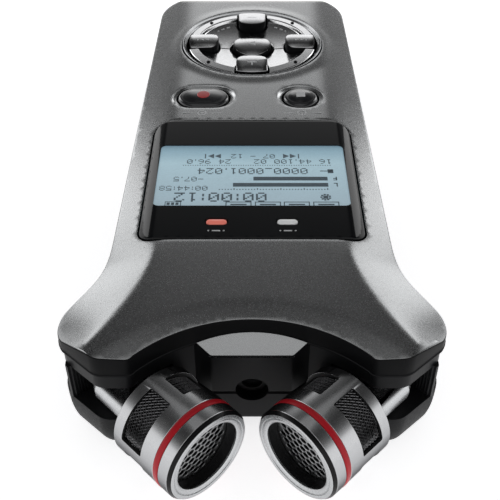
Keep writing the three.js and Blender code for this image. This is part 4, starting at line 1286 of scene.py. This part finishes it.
def usb_port():
    lo, hi = low_high("usb_port")
    _, y, z = middle("usb_port")

    def mouth(w, h, r):
        return rounded([Vector((y - w / 2 + 0.7, z - h / 2)), Vector((y + w / 2 - 0.7, z - h / 2)),
                        Vector((y + w / 2, z - h / 6)), Vector((y + w / 2, z + h / 2)),
                        Vector((y - w / 2, z + h / 2)), Vector((y - w / 2, z - h / 6))], r, steps=4)

    shell = plate(mouth(7.7, 2.7, 0.5), lo.x, hi.x, top=0.05, bottom=0.12)
    cut = prism(mouth(7.0, 2.05, 0.35), lo.x - 1, hi.x - 1)
    piece("usb_shell", shell.moved(ON_SIDE), TINNED, ["usb_port"], bevel=0.06, cuts=[cut.moved(ON_SIDE)])
    tongue = plate(round_rect(4.6, 0.55, 0.15, y, z + 0.25, 3), lo.x + 1, hi.x - 0.8, top=0.05, bottom=0.1)
    piece("usb_tongue", tongue.moved(ON_SIDE), LINER_BLACK, like="usb_port")


def card_parts():
    lo, hi = low_high("card_socket")
    cage = plate(round_rect(hi.x - lo.x, hi.y - lo.y, 0.5, *middle("card_socket").xy, 4),
                 lo.z, hi.z, top=0.15, bottom=0.15)
    slot = slab(lo.x - 5, hi.x - 0.8, lo.y + 1.3, hi.y - 1.3, lo.z + 0.8, hi.z - 0.8)
    piece("card_cage", cage, TINNED, ["card_socket"], bevel=0.08, cuts=[slot])
    lo, hi = low_high("memory_card")
    plan = [Vector((hi.x, lo.y + 1.4)), Vector((hi.x, hi.y)), Vector((lo.x, hi.y)), Vector((lo.x, lo.y)),
            Vector((hi.x - 3.5, lo.y)), Vector((hi.x - 3.5, lo.y + 0.6)), Vector((hi.x - 1.5, lo.y + 1.4))]
    card = plate(rounded(plan, 0.3, steps=3), lo.z, hi.z, top=0.08, bottom=0.08)
    for k in range(8):
        y = lo.y + 2.2 + 1.05 * k
        card.add(slab(hi.x - 3.4, hi.x - 0.5, y, y + 0.7, lo.z - 0.03, lo.z + 0.05), look=1)
    piece("card_body", card, [LINER_BLACK, GOLD], ["memory_card"])
    lo, hi = low_high("card_door")
    hinge = middle("card_door_pin")
    door = plate(round_rect(hi.y - lo.y, hi.z - hinge.z, 0.7, (lo.y + hi.y) / 2, (hi.z + hinge.z) / 2, 5),
                 hinge.x - 0.6, hinge.x + 0.6, top=0.15, bottom=0.25)
    barrel = prism(circle(0.62, hinge.x, hinge.z, 24), lo.y, hi.y)
    barrel = barrel.moved(Matrix(((1, 0, 0, 0), (0, 0, 1, 0), (0, 1, 0, 0), (0, 0, 0, 1))))
    shape = door.moved(ON_SIDE)
    lip = plate(stadium(3.4, 0.9, 11.5, hi.z - 1.1, 5), hinge.x - 1, hinge.x, top=0.05, bottom=0.2)
    shape.add(lip.moved(ON_SIDE))
    shape.add(barrel)
    piece("card_flap", shape, BLACK_SATIN, ["card_door"], sharp=30)


# ---- under the covers --------------------------------------------------------------------------


def cells():
    """Two AA cells with a plain printed sleeve, a metal cap and a metal foot."""
    for node in ("battery_left", "battery_right"):
        lo, hi = low_high(node)
        side = 1 if node.endswith("right") else -1
        length = hi.y - lo.y - 1.1
        r = (hi.x - lo.x) / 2
        profile = rounded([(0, 0), (r - 1.4, 0), (r - 1.2, 0.25), (r - 0.3, 0.25), (r, 0.6),
                           (r, length - 0.7), (r - 0.5, length - 0.2), (r - 1.2, length - 0.2),
                           (r - 1.5, length - 0.5), (2.8, length - 0.5), (2.6, length + 0.6),
                           (2.3, length + 0.95), (0, length + 1.0)], 0.2, closed=False, steps=3)
        cell = lathe(profile, 64)
        for i, f in enumerate(cell.faces):
            spot = sum((cell.points[k] for k in f), Vector()) / len(f)
            away = hypot(spot.x, spot.y)
            bare = away < r - 1.0
            cell.looks[i] = 2 if bare else 1 if spot.z > length * 0.72 else 0
        turn = spin(-side * 90, "X")
        place = middle(node)
        place.y = lo.y if side > 0 else hi.y
        place = shift(*place) @ turn
        piece(node + "_cell", cell.moved(place), [SLEEVE, SLEEVE_BAND, STEEL], [node])


def coil(node, side):
    """A conical contact spring, its wide end on the case."""
    lo, hi = low_high(node)
    x, _, z = middle(node)
    turns, steps, wire, sides = 3, 120, 0.33, 10
    shape = Shape()
    rings = []
    for i in range(steps + 1):
        t = i / steps
        a = 2 * pi * turns * t
        r = 4.5 - 2 * t
        y = 3.5 * t
        out = Vector((cos(a), 0, sin(a)))
        centre = Vector((x, 0, z)) + out * r
        centre.y = (lo.y + 0.35 + y) if side > 0 else (hi.y - 0.35 - y)
        up = Vector((0, 1, 0))
        rings.append([centre + (out * cos(b) + up * sin(b)) * wire
                      for b in (2 * pi * k / sides for k in range(sides))])
    shape.skin(rings)
    piece(node + "_coil", shape, STEEL, [node])


def rear_screws():
    profile = [(0, 0.45), (1.2, 0.45), (1.95, 0.85), (2.0, 1.3), (0.95, 1.35), (0.85, 12.6), (0, 13.4)]
    screw = lathe(rounded(profile, 0.15, closed=False, steps=3), 40)
    cross = [prism(stadium(w, h, 0, 0, 5), -1, 1.0) for w, h in ((2.2, 0.5), (0.5, 2.2))]
    for k in range(4):
        node = f"rear_screw_{k + 1}"
        place = shift(*middle(node).xy)
        piece(node + "_head", screw.moved(place), STEEL, [node], cuts=[c.moved(place) for c in cross],
              bevel=0.04)


def tripod_bush():
    """A bush with a 1/4 inch thread, 20 turns to the inch."""
    lo, hi = low_high("tripod_insert")
    pitch, depth, z = 1.27, hi.z - 1.1, 0.75
    wall = []
    while z < depth - pitch:
        wall += [(3.05, z), (2.75, z + pitch * 0.35), (2.75, z + pitch * 0.5), (3.05, z + pitch * 0.85)]
        z += pitch
    profile = [(0, hi.z), (4.4, hi.z), (4.5, lo.z + 0.15), (4.35, lo.z), (3.35, lo.z), (3.1, 0.6)]
    bush = lathe(profile + wall + [(2.9, depth), (0, depth)], 72)
    piece("tripod_bush", bush.moved(shift(*middle("tripod_insert").xy)), BRASS, ["tripod_insert"], sharp=30)


def speaker():
    lo, hi = low_high("speaker")
    r = (hi.x - lo.x) / 2
    profile = [(0, hi.z), (0, 3.5), (2.6, 3.3), (2.8, 3.55), (6.2, 2.75), (7.2, 2.5), (8.0, 2.7),
               (8.6, 2.5), (r, 2.45), (r, 3.4), (r - 3.4, 4.6), (r - 3.4, hi.z)]
    cone = lathe(rounded(profile, 0.25, closed=False, steps=3), 72)
    piece("speaker_cone", cone.moved(shift(0, middle("speaker").y)), CONE, ["speaker"])


def dress_cad_nodes():
    """Better materials for the CAD nodes that stay."""
    looks = {"main_board": BOARD, "keypad_mat": RUBBER, "contact_plate": STEEL, "card_door_pin": STEEL,
             "left_pivot_pin": STEEL, "right_pivot_pin": STEEL}
    for name, look in looks.items():
        node = frame["nodes"][name]
        node.data.materials.clear()
        node.data.materials.append(look)


# ---- microphones -------------------------------------------------------------------------------

FLANGE, CAGE_END, LIP = 8.15, 21.8, 22.6
WINDOWS = (10.3, 15.25)
WINDOW_HALF = radians(35.6)
GROOVE = (18.35, 19.6)
MOUTH = 6.62


def mic_place(side):
    """From a microphone drawn along +Z, its top towards +Y, to its place on the recorder."""
    along = Vector((-side, -1, 0)).normalized()
    up = Vector((0, 0, 1))
    across = up.cross(along)
    turn = Matrix((across, up, along)).transposed().to_4x4()
    return shift(side * PIVOT_X, PIVOT_Y, MIC_Z) @ turn


def cage():
    """The body's wall, and the cutters for its four windows, whose sides point at the axis."""
    r = MIC_RADIUS
    wall = [(7.3, FLANGE + 0.3), (8.0, FLANGE), (r - 0.12, FLANGE + 0.02), (r, FLANGE + 0.14),
            (r, GROOVE[0] - 0.1), (r - 0.1, GROOVE[0]), (8.1, GROOVE[0]), (8.1, GROOVE[1]),
            (r - 0.1, GROOVE[1]), (r, GROOVE[1] + 0.1), (r, CAGE_END - 0.08), (r - 0.08, CAGE_END),
            (7.3, CAGE_END)]
    lo, hi = WINDOWS
    wall += [(7.3, hi + 1.2), (8.15, hi + 0.4), (8.15, lo - 0.4), (7.3, lo - 0.8)]
    shape = lathe(rounded(wall, 0.06, steps=2), 144)
    near, far = 4.5, 11.5
    sector = Shape()
    rings = [round_rect(2 * away * tan(WINDOW_HALF), hi - lo, 0.35, 0, (lo + hi) / 2, 4)
             for away in (near, far)]
    sector.skin([[Vector((away, p.x, p.y)) for p in ring] for away, ring in zip((near, far), rings)])
    cuts = [sector.moved(spin(angle)) for angle in (45, 135, 225, 315)]
    return shape, cuts


def woven_sleeve():
    """Two sets of crossing wires around the capsule."""
    shape = Shape()
    r, wire, wires, sides = 7.75, 0.09, 72, 4
    lo, hi = WINDOWS[0] - 0.2, WINDOWS[1] + 0.6
    steps = 14
    for hand in (-1, 1):
        for w in range(wires):
            rings = []
            for i in range(steps + 1):
                t = i / steps
                z = lo + (hi - lo) * t
                a = 2 * pi * w / wires + hand * (z - lo) / r * 0.9
                weave = 0.06 * hand * sin((z - lo) * pi / 0.38)
                out = Vector((cos(a), sin(a), 0))
                way = Vector((-sin(a) * hand * 0.9, cos(a) * hand * 0.9, 1)).normalized()
                side = out.cross(way)
                centre = out * (r + weave)
                centre.z = z
                rings.append([centre + (out * cos(b) + side * sin(b)) * wire
                              for b in (2 * pi * k / sides for k in range(sides))])
            shape.skin(rings)
    return shape


def grille():
    """A plate with close staggered rows of oblong holes, and a plain margin."""
    r, pitch, row, wide, tall = MOUTH + 0.1, 1.52, 1.12, 1.28, 0.88
    centres = [Vector((pitch * (i + 0.5 * (j % 2)), row * j)) for j in range(-6, 7) for i in range(-5, 6)]
    centres = [c for c in centres if hypot(c.x, c.y * 1.03) < r - 0.75]
    holes = [stadium(wide, tall, c.x, c.y, 3) for c in centres]
    tests = [(c, within(h)) for c, h in zip(centres, holes)]

    def inside(x, y):
        p = Vector((x, y))
        return p.length < r and not any((p - c).length < wide and test(x, y) for c, test in tests)

    filling = fill([circle(r, steps=72)] + holes, 1.3, inside)
    shape, upper, lower = sheet(filling, lambda x, y: 19.75, 19.45)
    for a, b in zip(upper, lower):
        shape.bridge(a, b)
    return shape


def arm():
    """Hub on the swivel pin and neck, rounded all along."""
    hub, half, width = 5.5, 2.3, 5.2
    neck_end = FLANGE + 0.9
    plan = arc(0, 0, hub, 108, 252, 24)
    plan += [Vector((neck_end, -width)), Vector((neck_end, width))]
    body = plate(clean(rounded(plan, 0.4, steps=3), 0.03), -half, half, top=1.7, bottom=1.9, steps=9)
    lay = Matrix(((0, 1, 0, 0), (0, 0, 1, 0), (1, 0, 0, 0), (0, 0, 0, 1)))
    return body.moved(lay)


def lip_parts(r):
    """The black bevelled band, and the silver face with its raised rim and inner bevel."""
    start = CAGE_END + 0.06
    band_profile = [(7.9, start), (r - 0.02, start), (r, start + 0.05), (r - 0.02, start + 0.12),
                    (8.36, LIP - 0.1), (8.2, LIP - 0.1), (7.9, LIP - 0.3)]
    face_profile = [(MOUTH, CAGE_END + 0.1), (8.1, CAGE_END + 0.1), (8.2, LIP - 0.14), (8.34, LIP - 0.1),
                    (8.34, LIP - 0.04), (8.26, LIP), (7.74, LIP), (7.64, LIP - 0.05), (7.6, LIP - 0.2),
                    (7.48, LIP - 0.2), (7.42, LIP - 0.1), (6.9, LIP - 0.18), (MOUTH, LIP - 0.36)]
    return (lathe(rounded(band_profile, 0.05, steps=2), 144),
            lathe(rounded(face_profile, 0.06, steps=3), 144))


def bore_profile():
    """The short black bore between the lip and the grille, finely turned."""
    profile = [(7.2, 19.85)]
    steps = 7
    top = CAGE_END
    for k in range(steps):
        z0 = 19.85 + (top - 19.85) * k / steps
        z1 = 19.85 + (top - 19.85) * (k + 0.8) / steps
        profile += [(MOUTH + 0.02, z0), (MOUTH + 0.02, z1), (MOUTH + 0.1, z1 + 0.02)]
    return profile + [(7.2, top)]


def microphones():
    back = lathe(rounded([(0, FLANGE + 0.05), (7.2, FLANGE + 0.05), (7.2, FLANGE + 1.5), (0, FLANGE + 1.5)],
                         0.12, closed=False, steps=3), 96)
    lo, hi = GROOVE
    red = lathe(rounded([(8.2, lo + 0.04), (8.74, lo + 0.04), (8.82, lo + 0.3), (8.82, hi - 0.3),
                         (8.74, hi - 0.04), (8.2, hi - 0.04)], 0.08, steps=3), 144)
    capsule = lathe(rounded([(0, 9.9), (5.9, 9.9), (6.2, 10.2), (6.2, 16.9), (5.6, 17.3), (0, 17.3)],
                            0.15, closed=False, steps=3), 64)
    body, windows = cage()
    dark, silver = lip_parts(MIC_RADIUS)
    bore, front, sleeve = lathe(bore_profile(), 96), grille(), woven_sleeve()
    for side, name in ((-1, "left"), (1, "right")):
        at = mic_place(side)

        def put(part, shape, look, node, like=False, at=at, name=name + "_mic_", **more):
            stands = {"like": name + node} if like else {"nodes": [name + node]}
            piece(name + part, shape.moved(at), look, **stands, **more)

        def look(point, _, back_to=at.inverted()):
            local = back_to @ point
            inside = hypot(local.x, local.y) < MIC_RADIUS - 0.14
            return 1 if inside and FLANGE + 0.6 < local.z < CAGE_END - 0.6 else 0

        put("swivel", arm(), SATIN_SILVER, "arm", sharp=50)
        put("back_disc", back, DARK_CHROME, "arm", like=True)
        put("body", body, [DARK_CHROME, LINER_BLACK], "cage", bevel=0.09, sharp=32, repaint=look,
            cuts=[c.moved(at) for c in windows])
        put("red_band", red, RED_RING, "red_ring")
        put("lip", silver, SATIN_SILVER, "lip_ring", sharp=45)
        put("lip_band", dark, BAND_BLACK, "lip_ring", like=True, sharp=45)
        put("bore", bore, LINER_BLACK, "face_ring", sharp=30)
        put("front_grille", front, GRILLE_SILVER, "grille", bevel=0.05, sharp=50)
        put("weave", sleeve, WIRE_BLACK, "mesh", sharp=80)
        put("capsule_can", capsule, LINER_BLACK, "capsule")


# ---- set ---------------------------------------------------------------------------------------


def stage():
    pale = surface("pale_floor", (0.8, 0.8, 0.805), 0.6, glow=0.95,
                   layers=[("noise", 60, 0.01, 0.03, 0), ("noise", 4, 0.006, 0.02, 0)])
    bpy.ops.mesh.primitive_plane_add(size=6, location=(0, 0, 0))
    ground = bpy.context.object
    ground.name = "floor"
    ground.data.materials.append(pale)


def area(name, place, aim, size, power):
    """A soft panel in metres and watts, which the camera doesn't see."""
    light = bpy.data.lights.new(name, "AREA")
    light.shape = "RECTANGLE"
    light.size, light.size_y = size
    light.energy = power
    obj = bpy.data.objects.new(name, light)
    bpy.context.scene.collection.objects.link(obj)
    obj.location = place
    obj.rotation_euler = (Vector(aim) - Vector(place)).to_track_quat("-Z", "Y").to_euler()
    obj.visible_camera = False


# The studio's brightness at the sine of each elevation: white walls low down, a dark ceiling.
STUDIO = ((0.0, 1.2), (0.2, 1.2), (0.41, 1.15), (0.5, 0.5), (0.58, 0.25), (0.67, 0.1), (0.85, 0.03),
          (0.92, 0.2), (1.0, 0.58))


def studio_graph(tree):
    """Brightness by direction: the walls and ceiling, with a dark gap on each side of the tail."""
    x, y, z = axes(tree, "Generated")

    def step(value, lo, hi, start=0.0, end=1.0):
        node = tree.nodes.new("ShaderNodeMapRange")
        node.interpolation_type = "SMOOTHSTEP"
        tree.links.new(value, node.inputs["Value"])
        for name, number in (("From Min", lo), ("From Max", hi), ("To Min", start), ("To Max", end)):
            node.inputs[name].default_value = number
        return node.outputs[0]

    halves = gradient(tree, z, [(at, (level / 2,) * 3) for at, level in STUDIO], "EASE")
    walls = calc(tree, "MULTIPLY", halves, 2.0)
    beside = calc(tree, "DIVIDE", calc(tree, "ABSOLUTE", x), calc(tree, "MAXIMUM", y, 0.02))
    gap = step(beside, 0.14, 0.26)
    for limit in (step(beside, 0.56, 0.84, 1.0, 0.0), step(y, 0.0, 0.1), step(z, 0.14, 0.24)):
        gap = calc(tree, "MULTIPLY", gap, limit)
    return calc(tree, "MULTIPLY", walls, calc(tree, "SUBTRACT", 1.0, calc(tree, "MULTIPLY", gap, 0.85)))


def lighting():
    world = bpy.data.worlds.new("studio")
    bpy.context.scene.world = world
    world.use_nodes = True
    back = world.node_tree.nodes["Background"]
    world.node_tree.links.new(studio_graph(world.node_tree), back.inputs["Strength"])
    back.inputs["Color"].default_value = (1, 1, 1, 1)
    for side in (-1, 1):
        area("side_panel", (side * 0.126, 0.164, 0.115), (0, 0.164, 0.115), (0.098, 0.11), 0.065)
    area("top_panel", (0, -0.042, 0.1), (0, -0.042, 0), (0.08, 0.066), 0.005)


# Fitted to the photograph's outline; in metres, degrees and millimetres of lens.
CAMERA_PLACE, CAMERA_TILT, CAMERA_LENS, CAMERA_SHIFT = (0, -0.15534, 0.12853), 49.21, 59.97, -0.004


def camera():
    data = bpy.data.cameras.new("camera")
    data.lens, data.sensor_width, data.shift_x = CAMERA_LENS, 36, CAMERA_SHIFT
    data.clip_start, data.clip_end = 0.005, 20
    obj = bpy.data.objects.new("camera", data)
    bpy.context.scene.collection.objects.link(obj)
    obj.location = CAMERA_PLACE
    obj.rotation_euler = (radians(CAMERA_TILT), 0, 0)
    bpy.context.scene.camera = obj


camera()
front_panel()
display_window()
display()
lamps()
face_print()
round_keys()
play_key()
arrow_keys()
quarter_keys()
dial_ring()
middle_frame()
rear_shell()
battery_cover()
side_pieces()
cells()
coil("battery_spring_right", 1)
coil("battery_spring_left", -1)
rear_screws()
tripod_bush()
speaker()
dress_cad_nodes()
microphones()
stage()
lighting()
scene = bpy.context.scene
scene.view_settings.view_transform = "Standard"
